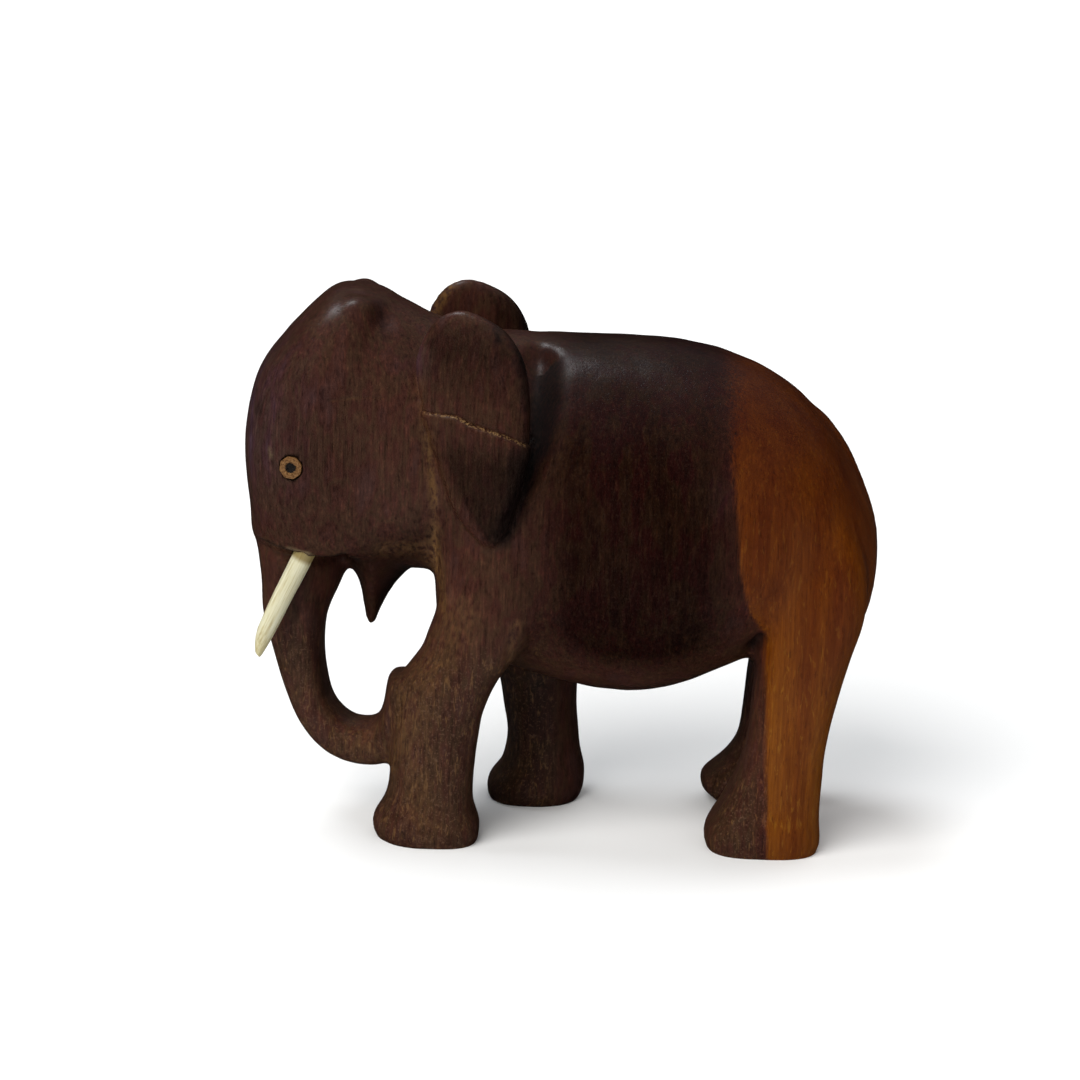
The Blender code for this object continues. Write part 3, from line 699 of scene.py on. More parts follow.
def stroke(points, path, width, side=None, least_y=6.0):
    """1 on a stroke seen from the side, down to 0 at its width, on one flank or on both."""
    away, _ = along_stroke(points, path)
    outer = np.abs(points[:, 1]) > least_y
    if side is not None:
        outer &= np.sign(points[:, 1]) == side
    return fade(away, width) * outer


def painted(points, strokes, spots=()):
    """The strokes and the round spots, added up."""
    total = np.zeros(len(points))
    for strength, *shape in strokes:
        total += strength * stroke(points, *shape)
    for strength, centre, radius in spots:
        total += strength * near(points, centre, radius)
    return total


def rumple(points, size, seed):
    """Smooth noise from about -1 to 1, its swells about a size apart on each axis."""
    scaled = points / np.array(size, float) + seed * 17.3
    return np.array([noise.noise(point) for point in scaled.tolist()])


def refine(obj):
    """Gives the carving finer faces where strokes, sockets and the chipped toe need them."""
    points = points_of(obj.data)
    wanted = near(points, (48.5, 8, 4), 4.0) > 0
    for path, width, side in FINE_PLACES:
        wanted |= stroke(points, path, width, side) > 0
    for side in (LEFT, RIGHT):
        wanted |= near(points, (EYE_PLACE[0], side * 26, EYE_PLACE[1]), 6.0) > 0
        wanted |= near(points, (TUSK_ROOT[0], side * 17, TUSK_ROOT[2] + 1), 6.0) > 0
    bm = bmesh.new()
    bm.from_mesh(obj.data)
    bm.verts.ensure_lookup_table()
    edges = [e for e in bm.edges if wanted[e.verts[0].index] and wanted[e.verts[1].index]]
    bmesh.ops.subdivide_edges(bm, edges=edges, cuts=2, use_grid_fill=True)
    bmesh.ops.triangulate(bm, faces=bm.faces)
    bm.to_mesh(obj.data)
    bm.free()
    points, pairs = points_of(obj.data), pairs_of(obj.data)
    move_points(obj.data, relax(points, pairs, 2, 0.4))


def crack_relief(points, wander):
    """The left ear's crack: its lower half stands proud, and its edges are ragged."""
    x, y, z = points.T
    away, _ = along_stroke(points, EAR_CRACK)
    on_ear = (y < -EAR_Y) & (x > -32.6) & (x < -2.4)
    below = z < on_line(x, EAR_CRACK)
    proud = np.where(below & on_ear, 0.5 * fade(away, 9.0), 0)
    return proud - np.where(on_ear, 0.35 * wander * fade(away, 0.8), 0)


def lip_relief(points):
    """The lips' broad chamfer and the narrow line along it, deeper towards the rear."""
    x, y, z = points.T
    away, place = along_stroke(points, LIP_LINE)
    cut = on_line(place, [(0, 0.4), (1, 1.0)]) * fade(away, 6.0)
    cut += on_line(place, [(0, 0.3), (1, 0.8)]) * fade(away, 1.1)
    under_lip = (np.abs(y) > LIP_Y) & (x < LIP_END_X) & (z < on_line(x, LIP_LINE))
    return -np.where(under_lip, cut, 0)


def relief(obj):
    """Cuts the fine strokes, and leaves the slight unevenness of a hand-finished surface."""
    mesh = obj.data
    points = points_of(mesh)
    flat = np.empty(len(mesh.vertices) * 3)
    mesh.vertex_normals.foreach_get("vector", flat)
    normals = flat.reshape(-1, 3)
    raised = 0.16 * rumple(points, (9, 9, 16), 1) + 0.07 * rumple(points, (4, 4, 7), 2)
    legs = fade(points[:, 2] - 10, 55) * (points[:, 0] < 30)
    raised += 0.14 * legs * rumple(points, (5, 5, 9), 3)
    wander = 0.75 + 0.5 * rumple(points, (3, 3, 3), 4)
    raised += crack_relief(points, wander) + lip_relief(points)
    for depth, wanders, *shape in CUTS:
        raised -= depth * (wander if wanders else 1) * stroke(points, *shape)
    raised -= painted(points, (), DENTS)
    move_points(mesh, points + normals * raised[:, None])


def mark(mesh, name, values, low=0.0, high=1.0):
    """Stores one number per point, from low to high, for the materials to read."""
    layer = mesh.attributes.new(name, "FLOAT", "POINT")
    layer.data.foreach_set("value", np.clip(values, low, high).astype(np.float32))


def tone_with_painted_light(points):
    """How light the worn wood is: darker higher up, partly as painted shade, darker on the ears
    but lightened along their top rims as a painted sheen, and darker as painted shade round
    the chin, between the front legs and on the far legs.
    """
    x, y, z = points.T
    ear = np.clip((x - on_line(z, EAR_FRONT_EDGE)) / 3, 0, 1)
    ear = ear * np.clip((on_line(z, EAR_REAR_EDGE) - x) / 3, 0, 1) * (np.abs(y) > EAR_Y)
    tone = on_line(z, BODY_TONE_AND_SHADE) * (1 - ear) + on_line(z, EAR_TONE_AND_RIM_SHEEN) * ear
    # Painted shade under the jaw, round the throat between the front legs and on the far legs
    tone = tone * (1 - 0.45 * stroke(points, [(-48, 76), (-32, 84)], 10))
    tone = tone * (1 - 0.5 * near(points, (-36, 0, 66), 26))
    return tone * (1 - 0.35 * (y > 2) * fade(z - 30, 34))


def dustiness(points):
    """How dry and dusty the wood is: the legs and feet, not the trunk or between the legs."""
    x, _, z = points.T
    dusty = fade(z - 46, 20) * np.clip(1.4 - 1.2 * near(points, (-50, -12, 40), 30), 0, 1)
    return dusty * np.clip((np.abs(x - 26) - 17) / 9, 0, 1)


def mark_wood(obj):
    """Says where the wood is sapwood, worn pale, rubbed golden, cracked, filled or darkened, and
    where painted shade and a painted sheen lie.
    """
    mesh = obj.data
    points = points_of(mesh)
    x, y, z = points.T
    from_edge = (x - on_line(z, SAPWOOD_EDGE)) / on_line(z, SAPWOOD_BLUR)
    mark(mesh, "sapwood", from_edge, -40, 40)
    mark(mesh, "height", z / DRAWN_HEIGHT)
    mark(mesh, "polished", 1.6 * fade(np.abs(x - 26), 42) * (1 - fade(z - 44, 20)))
    mark(mesh, "tone", tone_with_painted_light(points))
    mark(mesh, "dusty", dustiness(points))
    # Painted cool sheen on the front of the head, the ears' front edges and two spots on each flank
    brow_sheen = fade(x + 80, 26) * fade(np.abs(z - 116), 38)
    mark(mesh, "cool", brow_sheen + painted(folded(points), (), PAINTED_SHEEN_SPOTS))

    away, place = along_stroke(points, EAR_CRACK)
    crack = fade(away, 0.55) * on_line(place, CRACK_STRENGTH)
    mark(mesh, "crack", np.where((y < -EAR_Y) & (x > -32) & (x < -3), crack, 0))
    away, place = along_stroke(points, HEAD_SEAM)
    seam = on_line(place, SEAM_GOLD) * (0.75 * fade(away, 1.8) + 0.35 * fade(away, 4.5))
    gold = painted(points, GOLD_STROKES, GOLD_SPOTS)
    mark(mesh, "gold", np.where(np.abs(y) > 14, seam, 0) + gold)
    mark(mesh, "dark", painted(points, SHADE_AND_KNOT_STROKES, PAINTED_SHADE_SPOTS))
    mark(mesh, "putty", painted(points, PUTTY_STROKES))


def thin_and_stand(obj):
    """Thins the smooth parts of the carving, and cuts the four soles flat."""
    thin = obj.modifiers.new("thin", "DECIMATE")
    thin.ratio = CARVING_TRIANGLES / len(obj.data.polygons)
    thin.use_collapse_triangulate = True
    bake(obj)
    bm = bmesh.new()
    bm.from_mesh(obj.data)
    everything = [*bm.verts, *bm.edges, *bm.faces]
    cut = bmesh.ops.bisect_plane(
        bm, geom=everything, plane_co=(0, 0, 0), plane_no=(0, 0, 1), clear_inner=True
    )["geom_cut"]
    rims = [item for item in cut if isinstance(item, bmesh.types.BMEdge)]
    bmesh.ops.holes_fill(bm, edges=rims)
    bmesh.ops.triangulate(bm, faces=bm.faces)
    bmesh.ops.recalc_face_normals(bm, faces=bm.faces)
    bm.to_mesh(obj.data)
    bm.free()


def to_real_size(obj):
    """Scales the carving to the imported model. Gives the move from drawn units."""
    points = points_of(obj.data)
    low, high = points.min(axis=0), points.max(axis=0)
    middle = Vector(((low[0] + high[0]) / 2, (low[1] + high[1]) / 2, 0))
    move = Matrix.Scale(HEIGHT / (high[2] - low[2]), 4) @ Matrix.Translation(-middle)
    obj.data.transform(move)
    return move


def turned(name, profile, sides, middles=None):
    """A closed solid of rings round its own Z axis: distance along it, and radius.

    middles shifts the rings along X.
    """
    bm = bmesh.new()
    rings = []
    turns = (np.arange(sides) + 0.5) * 2 * math.pi / sides
    for i, (along, radius) in enumerate(profile):
        middle = middles[i] if middles is not None else 0.0
        rings.append(
            [(middle + radius * math.cos(t), radius * math.sin(t), along) for t in turns]
        )
    add_loft(bm, rings)
    return to_object(bm, name)


# The tusk's outline: share of its length, and share of its radius
TUSK_OUTLINE = [(0.0, 0.93), (0.008, 1.0), (0.25, 1.0), (0.5, 0.97), (0.68, 0.92), (0.8, 0.86)]
TUSK_OUTLINE += [(0.87, 0.74), (0.93, 0.56), (0.975, 0.38), (0.995, 0.22), (1.0, 0.08)]
TUSK_RINGS = 90
TUSK_SIDES = 48
CUTTER_SIDES = 32
EYE_STEPS = 12


def fine_tusk(name, side):
    """A bone tusk along its own Z axis, its tip worn slantwise on the rear side."""
    radius = TUSK_DIAMETER / 2
    along = np.concatenate([[0.0, 0.008], np.linspace(0.02, 1.0, TUSK_RINGS)])
    share = on_line(along, TUSK_OUTLINE)
    profile = list(zip(along * TUSK_LENGTH, radius * share))
    made = turned(name, profile, TUSK_SIDES, -(1 - share) * radius * 0.7)
    points = points_of(made.data)
    points[:, :2] *= 1 + 0.035 * rumple(points / radius, (1.1, 1.1, 2.6), 5 + side)[:, None]
    move_points(made.data, points)
    return made


def fine_eye(name, side):
    """A whittled peg along its own Z axis, with a worn rim and a ragged pupil."""
    radius, pupil = EYE_DIAMETER / 2, PUPIL_DIAMETER / 2
    count = EYE_SIDES * EYE_STEPS
    turns = np.arange(count) * 2 * math.pi / count
    half = math.pi / EYE_SIDES
    corner = (turns + half) % (2 * half) - half
    octagon = np.minimum(math.cos(half) / np.cos(corner), 0.985)
    ragged = 1 + 0.16 * np.sin(3 * turns + side) + 0.12 * np.sin(5 * turns + 2)
    ragged = ragged + 0.07 * np.sin(9 * turns)
    rows = [
        (-EYE_LENGTH, radius * octagon),
        (-0.0005, radius * octagon),
        (-0.00022, radius * octagon),
        (-0.00006, (radius - 0.00008) * octagon),
        (0.0, (radius - 0.0003) * octagon),
        (0.00004, radius * 0.72 * octagon**0.5),
        (0.00002, pupil * 1.12 * ragged),
        (-0.00012, pupil * ragged),
        (-PUPIL_DEPTH * 0.8, pupil * 0.86 * ragged),
        (-PUPIL_DEPTH, pupil * 0.45 * ragged),
    ]
    bm = bmesh.new()
    rings = []
    for along, reach in rows:
        lift = along + (0.00005 * np.sin(2 * turns + 1) if along > -0.001 else 0 * turns)
        rings.append(np.stack([reach * np.cos(turns), reach * np.sin(turns), lift], 1))
    add_loft(bm, rings)
    return to_object(bm, name)


def standing_on(origin, axis):
    """The place of a piece whose Z axis points along axis, its X axis towards the rear."""
    axis = axis.normalized()
    across = Vector((0, 1, 0)).cross(axis).normalized()
    place = Matrix((across, axis.cross(across), axis)).transposed().to_4x4()
    place.translation = origin
    return place


def tusk_place(move, side):
    root = move @ Vector((TUSK_ROOT[0], side * TUSK_ROOT[1], TUSK_ROOT[2]))
    point = move @ Vector((TUSK_POINT[0], side * TUSK_POINT[1], TUSK_POINT[2]))
    axis = (point - root).normalized()
    return standing_on(root - axis * TUSK_SOCKET_DEPTH, axis)


def eye_place(move, side, elephant):
    outside = move @ Vector((EYE_PLACE[0], side * OUTSIDE_Y, EYE_PLACE[1]))
    _, seat, _, _ = elephant.ray_cast(outside, Vector((0, -side, 0)))
    outward = Vector((EYE_OUTWARD[0], side * EYE_OUTWARD[1], EYE_OUTWARD[2])).normalized()
    return standing_on(seat + outward * EYE_PROUD, outward)


def cut_socket(elephant, cutter, place):
    """Cuts a socket into the carving and removes its cutter."""
    cutter.matrix_world = place
    socket = elephant.modifiers.new("socket", "BOOLEAN")
    socket.operation = "DIFFERENCE"
    socket.solver = "EXACT"
    socket.object = cutter
    bake(elephant)
    bpy.data.objects.remove(cutter)


def cut_sockets(elephant, at_root, at_face):
    """Cuts the sockets of one side's tusk and eye peg."""
    wide = TUSK_DIAMETER / 2 + FIT_GAP
    rows = [(-FIT_GAP, wide), (TUSK_LENGTH * 0.98, wide * 0.9)]
    cut_socket(elephant, turned("tusk cutter", rows, TUSK_SIDES), at_root)
    wide = EYE_DIAMETER / 2 + EYE_GAP
    rows = [(-EYE_LENGTH - FIT_GAP, wide), (EYE_LENGTH, wide)]
    cut_socket(elephant, turned("eye cutter", rows, CUTTER_SIDES), at_face)


class Graph:
    """The nodes of a material or of the world, added one at a time."""

    def __init__(self, owner):
        owner.use_nodes = True
        self.owner = owner
        self.tree = owner.node_tree

    def join(self, source, target):
        """Links a socket, or sets a plain value, on the target socket."""
        if isinstance(source, bpy.types.NodeSocket):
            self.tree.links.new(source, target)
        else:
            target.default_value = source

    def fill(self, node, inputs):
        """Links or sets a node's inputs, which are given by name or number."""
        for key, source in inputs.items():
            self.join(source, node.inputs[key])
        return node

    def node(self, kind, inputs=None, **settings):
        made = self.tree.nodes.new(kind)
        for name, value in settings.items():
            setattr(made, name, value)
        return self.fill(made, inputs or {})

    def attribute(self, name):
        return self.node("ShaderNodeAttribute", attribute_name=name).outputs["Fac"]

    def place(self, scale, shift=(0, 0, 0)):
        """Object coordinates, scaled and shifted."""
        spot = self.node("ShaderNodeTexCoord").outputs["Object"]
        inputs = {"Vector": spot, "Scale": scale, "Location": shift}
        return self.node("ShaderNodeMapping", inputs).outputs["Vector"]

    def noise(self, scale, detail, roughness, distortion=0.0, shift=(0, 0, 0)):
        """Noise over the object, with a scale for each axis in waves per metre."""
        inputs = {"Vector": self.place(scale, shift), "Scale": 1.0, "Detail": detail}
        inputs |= {"Roughness": roughness, "Distortion": distortion}
        return self.node("ShaderNodeTexNoise", inputs).outputs["Fac"]

    def grey(self, value):
        """The value as a grey colour."""
        return self.node("ShaderNodeCombineColor", {0: value, 1: value, 2: value}).outputs[0]

    def math(self, operation, first, second=0.0, clamp=False):
        inputs = {0: first, 1: second}
        return self.node("ShaderNodeMath", inputs, operation=operation, use_clamp=clamp).outputs[0]

    def span(self, value, low, high, to_low=0.0, to_high=1.0):
        """The value from low to high, spread smoothly over another span."""
        inputs = {"Value": value, "From Min": low, "From Max": high}
        inputs |= {"To Min": to_low, "To Max": to_high}
        made = self.node("ShaderNodeMapRange", inputs, interpolation_type="SMOOTHSTEP")
        return made.outputs["Result"]

    def mix(self, share, first, second, blend="MIX"):
        inputs = {0: share, 6: first, 7: second}
        return self.node("ShaderNodeMix", inputs, data_type="RGBA", blend_type=blend).outputs[2]

    def tint(self, colour, *rows):
        """Multiplies the colour by each row's factor where its value is past a span.

        A row is the value, the span's two ends, the share at its far end, and the factor.
        """
        for value, low, high, share, factor in rows:
            there = self.span(value, low, high, 0.0, share)
            colour = self.mix(there, colour, (*factor, 1), "MULTIPLY")
        return colour

    def bump(self, height, strength, distance, under=None):
        inputs = {"Strength": strength, "Distance": distance, "Height": height}
        if under is not None:
            inputs["Normal"] = under
        return self.node("ShaderNodeBump", inputs).outputs["Normal"]

    def ramp(self, value, *stops):
        """Colours at places from 0 to 1."""
        made = self.node("ShaderNodeValToRGB", {"Fac": value})
        ends = made.color_ramp.elements
        while len(ends) < len(stops):
            ends.new(0.5)
        for end, (place, colour) in zip(ends, stops):
            end.position = place
            end.color = (*colour, 1)
        return made.outputs["Color"]

    def shade(self, inputs):
        """Links or sets the surface shader's inputs. Gives the material."""
        self.fill(self.tree.nodes["Principled BSDF"], inputs)
        return self.owner


# Noises of the wood: waves per drawn unit across and along the grain, detail, roughness,
# distortion and shift
WOOD_NOISES = {
    "fibres": (1.5, 0.06, 5.0, 0.62),
    "bands": (0.16, 0.008, 3.0, 0.5, 0.4),
    "patches": (0.17, 0.055, 3.0, 0.6, 0.0, (3, 5, 1)),
    "clouds": (0.06, 0.03, 4.0, 0.55, 0.0, (8, 1, 2)),
    "pores": (2.4, 0.30, 2.0, 0.4, 0.0, (7, 2, 4)),
    "flecks": (1.1, 0.22, 3.0, 0.6, 0.6, (1, 9, 6)),
    "mottle": (0.75, 0.40, 4.0, 0.65, 0.0, (4, 4, 9)),
    "speckle": (1.6, 1.6, 3.0, 0.6),
}


def wood_noises(g):
    unit = DRAWN_HEIGHT / HEIGHT
    made = {}
    for name, (across, along, *character) in WOOD_NOISES.items():
        made[name] = g.noise((unit * across, unit * across, unit * along), *character)
    return SimpleNamespace(**made)


def heartwood(g, noises):
    """The colour of the heartwood: worn and flecked on head and legs, dark on the flanks, with
    the painted shade and painted sheen of the tone mark, and a painted cool sheen.
    """
    fibres, mottle, patches = noises.fibres, noises.mottle, noises.patches
    dusty = g.attribute("dusty")
    olive, maroon, plum = (0.051, 0.0225, 0.0120), (0.052, 0.0165, 0.0108), (0.052, 0.0205, 0.0160)
    worn = g.ramp(
        patches, (0.30, plum), (0.44, maroon), (0.52, olive), (0.62, maroon), (0.74, plum)
    )
    # The tone mark darkens the wood as painted shade in places and lightens the ears' top rims as a
    # painted sheen
    worn = g.mix(1.0, worn, g.grey(g.attribute("tone")), "MULTIPLY")
    worn = g.mix(dusty, worn, (0.82, 0.90, 0.84, 1), "MULTIPLY")
    black, wine, umber = (0.0060, 0.0011, 0.0005), (0.0085, 0.0010, 0.0006), (0.0090, 0.0028, 0.0008)
    polished = g.ramp(
        patches, (0.30, black), (0.44, wine), (0.54, umber), (0.66, black), (0.76, wine)
    )
    heart = g.mix(g.attribute("polished"), worn, polished)
    # A painted cool sheen, bluish, where the cool mark lies
    cool = g.math("MULTIPLY", g.attribute("cool"), g.span(patches, 0.30, 0.60, 0.9, 0.35))
    heart = g.mix(cool, heart, (1.05, 1.50, 3.00, 1), "MULTIPLY")
    heart = g.tint(
        heart,
        (noises.clouds, 0.35, 0.70, 1.0, (1.25, 1.22, 1.20)),
        (fibres, 0.50, 0.72, 0.85, (1.65, 1.62, 1.55)),
        (fibres, 0.50, 0.28, 0.85, (0.52, 0.45, 0.46)),
        (mottle, 0.52, 0.74, 0.8, (1.60, 1.60, 1.55)),
        (mottle, 0.48, 0.28, 0.8, (0.52, 0.46, 0.44)),
    )
    flecks, specks = g.span(noises.flecks, 0.55, 0.69), g.span(noises.speckle, 0.54, 0.66)
    golden = g.math("MULTIPLY", flecks, g.span(dusty, 0.0, 1.0, 0.05, 0.6))
    heart = g.mix(golden, heart, (0.120, 0.060, 0.022, 1))
    pale = g.math("MULTIPLY", specks, g.span(dusty, 0.0, 1.0, 0.04, 0.40))
    return g.mix(pale, heart, (0.115, 0.062, 0.038, 1))


def sapwood(g, noises):
    """The colour of the orange sapwood, redder towards the top and darker there, partly as painted
    shade.
    """
    fibres, height = noises.fibres, g.attribute("height")
    sap = g.ramp(
        noises.bands,
        (0.28, (0.080, 0.0155, 0.0001)),
        (0.5, (0.106, 0.0260, 0.0001)),
        (0.74, (0.130, 0.0365, 0.0002)),
    )
    sap = g.tint(
        sap,
        (fibres, 0.48, 0.72, 0.9, (1.38, 1.45, 1.3)),
        (fibres, 0.50, 0.28, 0.8, (0.70, 0.62, 0.5)),
    )
    sap = g.mix(g.span(noises.flecks, 0.56, 0.70, 0, 0.40), sap, (0.200, 0.080, 0.004, 1))
    return g.tint(
        sap,
        (noises.mottle, 0.48, 0.30, 0.6, (0.72, 0.64, 0.5)),
        # Darker higher up: partly painted shade
        (height, 0.20, 0.67, 1.0, (0.64, 0.50, 0.5)),
        (height, 0.56, 0.84, 1.0, (0.66, 0.60, 0.5)),
    )


def marked(g, wood, noises):
    """The wood's colour with its golden rubs, crack, filler, painted shade, small dark knots and
    pores.
    """
    mottle, speckle = noises.mottle, noises.speckle
    rubbed = g.math("MULTIPLY", g.attribute("gold"), g.span(mottle, 0.38, 0.60, 0.1, 1.0))
    wood = g.mix(g.math("MULTIPLY", rubbed, 0.9, True), wood, (0.105, 0.050, 0.014, 1))
    broken = g.math("MULTIPLY", g.attribute("crack"), g.span(speckle, 0.46, 0.58, 0.0, 1.2), True)
    wood = g.mix(broken, wood, (0.200, 0.115, 0.048, 1))
    filled = g.math("MULTIPLY", g.attribute("putty"), g.span(speckle, 0.30, 0.52, 0.35, 1.0), True)
    wood = g.mix(filled, wood, (0.120, 0.085, 0.045, 1))
    # The dark mark is painted shade in the trenches, creases and hollows, and dark knots in a few
    # dents
    dark = g.attribute("dark")
    shaded = g.math("MULTIPLY", dark, g.span(noises.fibres, 0.25, 0.6, 1.0, 0.75), True)
    wood = g.mix(shaded, wood, (0.16, 0.08, 0.07, 1), "MULTIPLY")
    wood = g.tint(wood, (noises.pores, 0.36, 0.28, 0.6, (0.42, 0.36, 0.34)))
    return wood, g.math("ADD", rubbed, dark)


def carved_wood():
    """Dark heartwood with an orange sapwood side, its grain upright, waxed and handled."""
    g = Graph(bpy.data.materials.new("dark heartwood"))
    noises = wood_noises(g)
    ragged = g.math("MULTIPLY", g.math("SUBTRACT", noises.fibres, 0.5), 2.4)
    edge = g.math("ADD", g.attribute("sapwood"), ragged)
    heart = g.tint(heartwood(g, noises), (edge, -6.0, -0.6, 0.5, (0.95, 0.42, 0.50)))
    wood = g.mix(g.span(edge, -0.9, 0.9), heart, sapwood(g, noises))
    colour, rubbed_and_shaded = marked(g, wood, noises)
    wax = g.span(noises.clouds, 0.3, 0.7, 0.30, 0.42)
    relief_of_grain = g.bump(noises.fibres, 0.30, 0.00010)
    relief_of_mottle = g.bump(noises.mottle, 0.30, 0.00022, relief_of_grain)
    in_pores = g.span(noises.pores, 0.36, 0.28, 1, 0)
    relief_of_pores = g.bump(in_pores, 0.35, 0.00012, relief_of_mottle)
    return g.shade({
        "Base Color": colour,
        "Roughness": g.math("ADD", wax, g.math("MULTIPLY", rubbed_and_shaded, 0.38)),
        "Specular IOR Level": 0.25,
        "Normal": g.bump(noises.clouds, 0.25, 0.0004, relief_of_pores),
    })


def bone():
    """Polished bone with fine long streaks, greyer towards the worn tip."""
    g = Graph(bpy.data.materials.new("bone"))
    streaks = g.noise((2300, 2300, 90), 4.0, 0.6)
    blotches = g.noise((220, 220, 120), 3.0, 0.5)
    colour = g.ramp(
        streaks,
        (0.30, (0.34, 0.28, 0.15)),
        (0.48, (0.50, 0.475, 0.32)),
        (0.70, (0.58, 0.56, 0.42)),
    )
    along = g.node("ShaderNodeSeparateXYZ", {0: g.place((1, 1, 1))}).outputs["Z"]
    root_low, root_high = TUSK_SOCKET_DEPTH - 0.0006, TUSK_SOCKET_DEPTH + 0.0012
    colour = g.tint(
        colour,
        (blotches, 0.5, 0.75, 0.5, (0.86, 0.80, 0.66)),
        (along, TUSK_LENGTH * 0.72, TUSK_LENGTH, 0.7, (0.80, 0.72, 0.52)),
        (along, root_high, root_low, 1.0, (0.42, 0.34, 0.20)),
    )
    return g.shade({
        "Base Color": colour,
        "Roughness": 0.36,
        "Specular IOR Level": 0.4,
        "Subsurface Weight": 0.12,
        "Subsurface Radius": (1.0, 0.8, 0.5),
        "Subsurface Scale": 0.0012,
        "Normal": g.bump(streaks, 0.25, 0.00006),
    })


def peg_wood():
    """End grain of a pale peg, stained orange-brown, with a black pupil."""
    g = Graph(bpy.data.materials.new("peg wood"))
    grain = g.noise((1500, 1500, 1500), 4.0, 0.65)
    colour = g.ramp(
        grain,
        (0.32, (0.045, 0.018, 0.005)),
        (0.5, (0.125, 0.058, 0.018)),
        (0.68, (0.20, 0.105, 0.038)),
    )
    away = g.node("ShaderNodeVectorMath", {0: g.place((1, 1, 0))}, operation="LENGTH")
    uneven = g.math("MULTIPLY", g.math("SUBTRACT", grain, 0.5), 0.0012)
    ragged = g.math("ADD", away.outputs["Value"], uneven)
    pupil = g.span(ragged, PUPIL_DIAMETER * 0.62, PUPIL_DIAMETER * 0.46)
    colour = g.mix(pupil, colour, (0.010, 0.008, 0.007, 1))
    rim = (ragged, EYE_DIAMETER * 0.455, EYE_DIAMETER * 0.50, 0.8, (0.30, 0.24, 0.2))
    return g.shade({
        "Base Color": g.tint(colour, rim),
        "Roughness": 0.5,
        "Specular IOR Level": 0.3,
        "Normal": g.bump(grain, 0.5, 0.00012),
    })


def dress(piece, material, node, smooth_angle):
    """Gives a piece its finish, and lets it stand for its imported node."""
    piece.data.materials.clear()
    piece.data.materials.append(material)
    piece.data.shade_smooth()
    piece.data.set_sharp_from_angle(angle=math.radians(smooth_angle))
    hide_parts(node)
    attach(piece, "root")


def stage():
    """A plain pale floor, wide enough to fill every view, that throws no glare on the wood."""
    bm = bmesh.new()
    bmesh.ops.create_circle(bm, cap_ends=True, segments=96, radius=14)
    floor = to_object(bm, "floor")
    floor.location.z = -0.00005
    g = Graph(bpy.data.materials.new("pale floor"))
    g.shade({"Base Color": (0.94, 0.94, 0.935, 1), "Roughness": 0.9, "Specular IOR Level": 0.1})
    pale = g.tree.nodes["Principled BSDF"].outputs[0]
    dim = g.node("ShaderNodeBsdfDiffuse", {"Color": (0.01, 0.01, 0.01, 1)}).outputs[0]
    glossy = g.node("ShaderNodeLightPath").outputs["Is Glossy Ray"]
    either = g.node("ShaderNodeMixShader", {0: glossy, 1: pale, 2: dim}).outputs[0]
    g.fill(g.tree.nodes["Material Output"], {"Surface": either})
    floor.data.materials.append(g.owner)


def soft_sun(name, direction, strength, angle, colour, glints):
    """A broad sun. Without glints it lights the wood, but shows in no reflection."""
    lamp = bpy.data.lights.new(name, "SUN")
    lamp.energy = strength
    lamp.angle = math.radians(angle)
    lamp.color = colour
    holder = bpy.data.objects.new(name, lamp)
    holder.rotation_euler = Vector(direction).to_track_quat("Z", "Y").to_euler()
    holder.visible_glossy = glints
    bpy.context.scene.collection.objects.link(holder)


def soft_sky():
    """A white room to the camera, and a broad light overhead to everything else."""
    g = Graph(bpy.data.worlds.new("soft sky"))
    way = g.node("ShaderNodeTexCoord").outputs["Generated"]
    up = g.node("ShaderNodeSeparateXYZ", {0: way}).outputs["Z"]
    seen = g.node("ShaderNodeLightPath").outputs["Is Camera Ray"]
    strength = g.math("MAXIMUM", seen, g.span(up, 0.25, 1.0, 0.01, 0.28))
    g.fill(g.tree.nodes["Background"], {"Strength": strength, "Color": (0.98, 0.99, 1.0, 1)})
    bpy.context.scene.world = g.owner


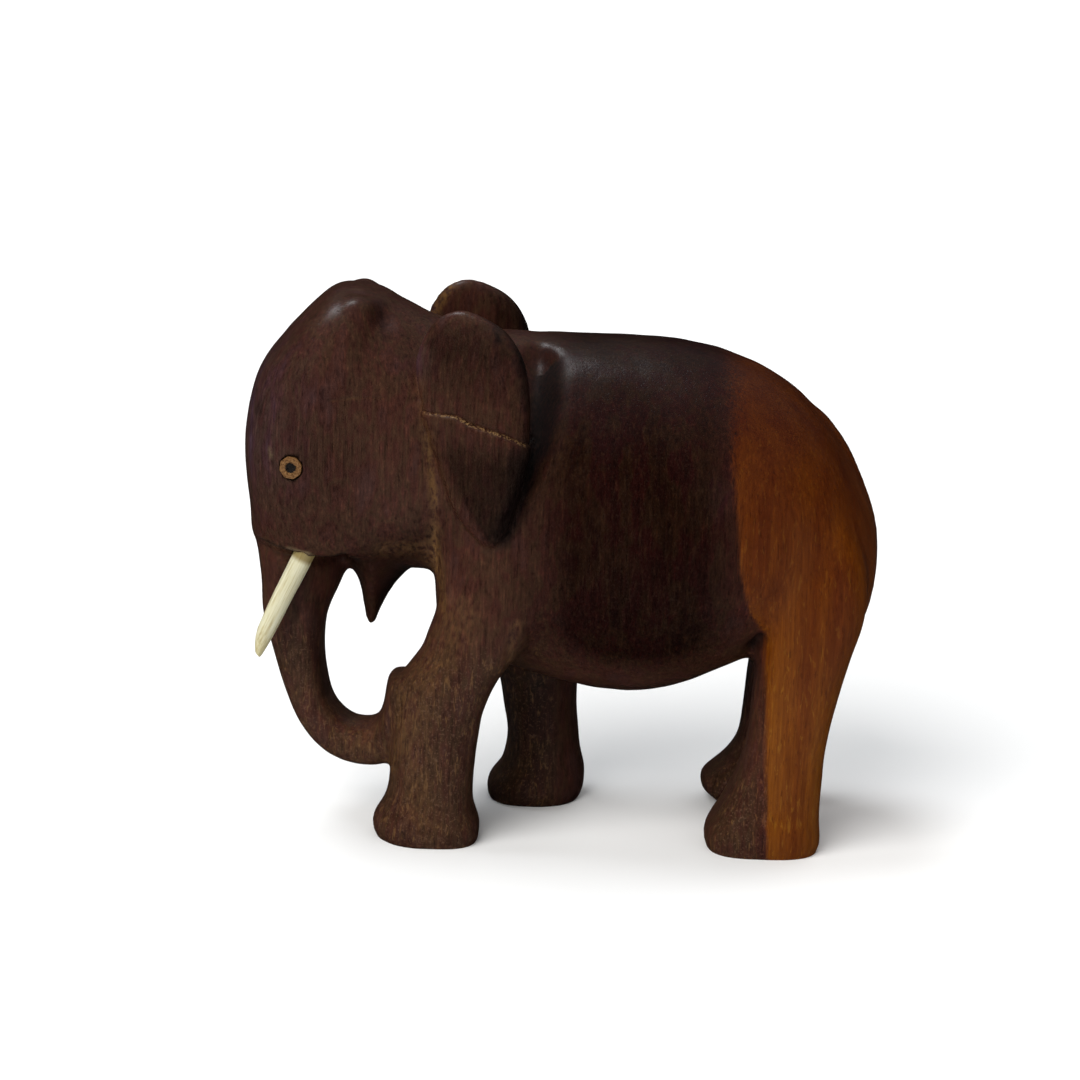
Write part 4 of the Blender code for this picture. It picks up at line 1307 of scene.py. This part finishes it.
def light():
    """A broad warm window before the left side, a cool lamp overhead, two fills and a soft sky."""
    white = (1.0, 1.0, 1.0)
    soft_sun("window", (-0.50, -0.64, 0.58), 3.3, 50, (1.0, 0.985, 0.965), False)
    soft_sun("overhead", (-0.34, 0.16, 0.93), 1.2, 24, (0.93, 0.965, 1.0), True)
    soft_sun("fill", (0.62, -0.66, 0.42), 0.6, 60, white, False)
    soft_sun("back fill", (0.40, 0.78, 0.48), 0.9, 60, white, False)
    soft_sky()


# The photograph's view: what it looks at as (x, z) and from how far, in drawn units, then
# its rise and tip in degrees and its lens in millimetres
VIEW_CENTRE = (-6.0, 79.8)
VIEW_DISTANCE = 841.0
VIEW_RISE = 14.0
VIEW_TIP = 1.75
VIEW_LENS = 101.33


def camera():
    """The photograph's view: a long lens, a little above the back, tipped slightly."""
    unit = HEIGHT / DRAWN_HEIGHT
    distance = VIEW_DISTANCE * unit
    rise, tip = math.radians(VIEW_RISE), math.radians(VIEW_TIP)
    target = Vector((VIEW_CENTRE[0], 0, VIEW_CENTRE[1])) * unit
    back = Vector((0, -math.cos(rise), math.sin(rise)))
    lens = bpy.data.cameras.new("view")
    lens.sensor_width = 36
    lens.lens = VIEW_LENS
    lens.clip_start, lens.clip_end = 0.01, 60
    seen = bpy.data.objects.new("view", lens)
    turn = Matrix.Rotation(math.radians(90) - rise, 4, "X") @ Matrix.Rotation(tip, 4, "Z")
    seen.matrix_world = Matrix.Translation(target + back * distance) @ turn
    bpy.context.scene.collection.objects.link(seen)
    bpy.context.scene.camera = seen


def main():
    wood, ivory, peg = carved_wood(), bone(), peg_wood()
    elephant = rough_out()
    elephant.name = "carving"
    refine(elephant)
    relief(elephant)
    thin_and_stand(elephant)
    mark_wood(elephant)
    move = to_real_size(elephant)
    bpy.context.view_layer.update()
    eyes = {side: eye_place(move, side, elephant) for side in (LEFT, RIGHT)}
    for side, word in ((LEFT, "left"), (RIGHT, "right")):
        at_root, at_face = tusk_place(move, side), eyes[side]
        cut_sockets(elephant, at_root, at_face)
        tusk, eye = fine_tusk(f"{word}_bone_tusk", side), fine_eye(f"{word}_peg_eye", side)
        tusk.matrix_world, eye.matrix_world = at_root, at_face
        dress(tusk, ivory, f"tusk_{word}", 50)
        dress(eye, peg, f"eye_{word}", 40)
    dress(elephant, wood, "elephant", 70)
    stage()
    light()
    camera()
    bpy.context.scene.view_settings.view_transform = "Standard"


main()
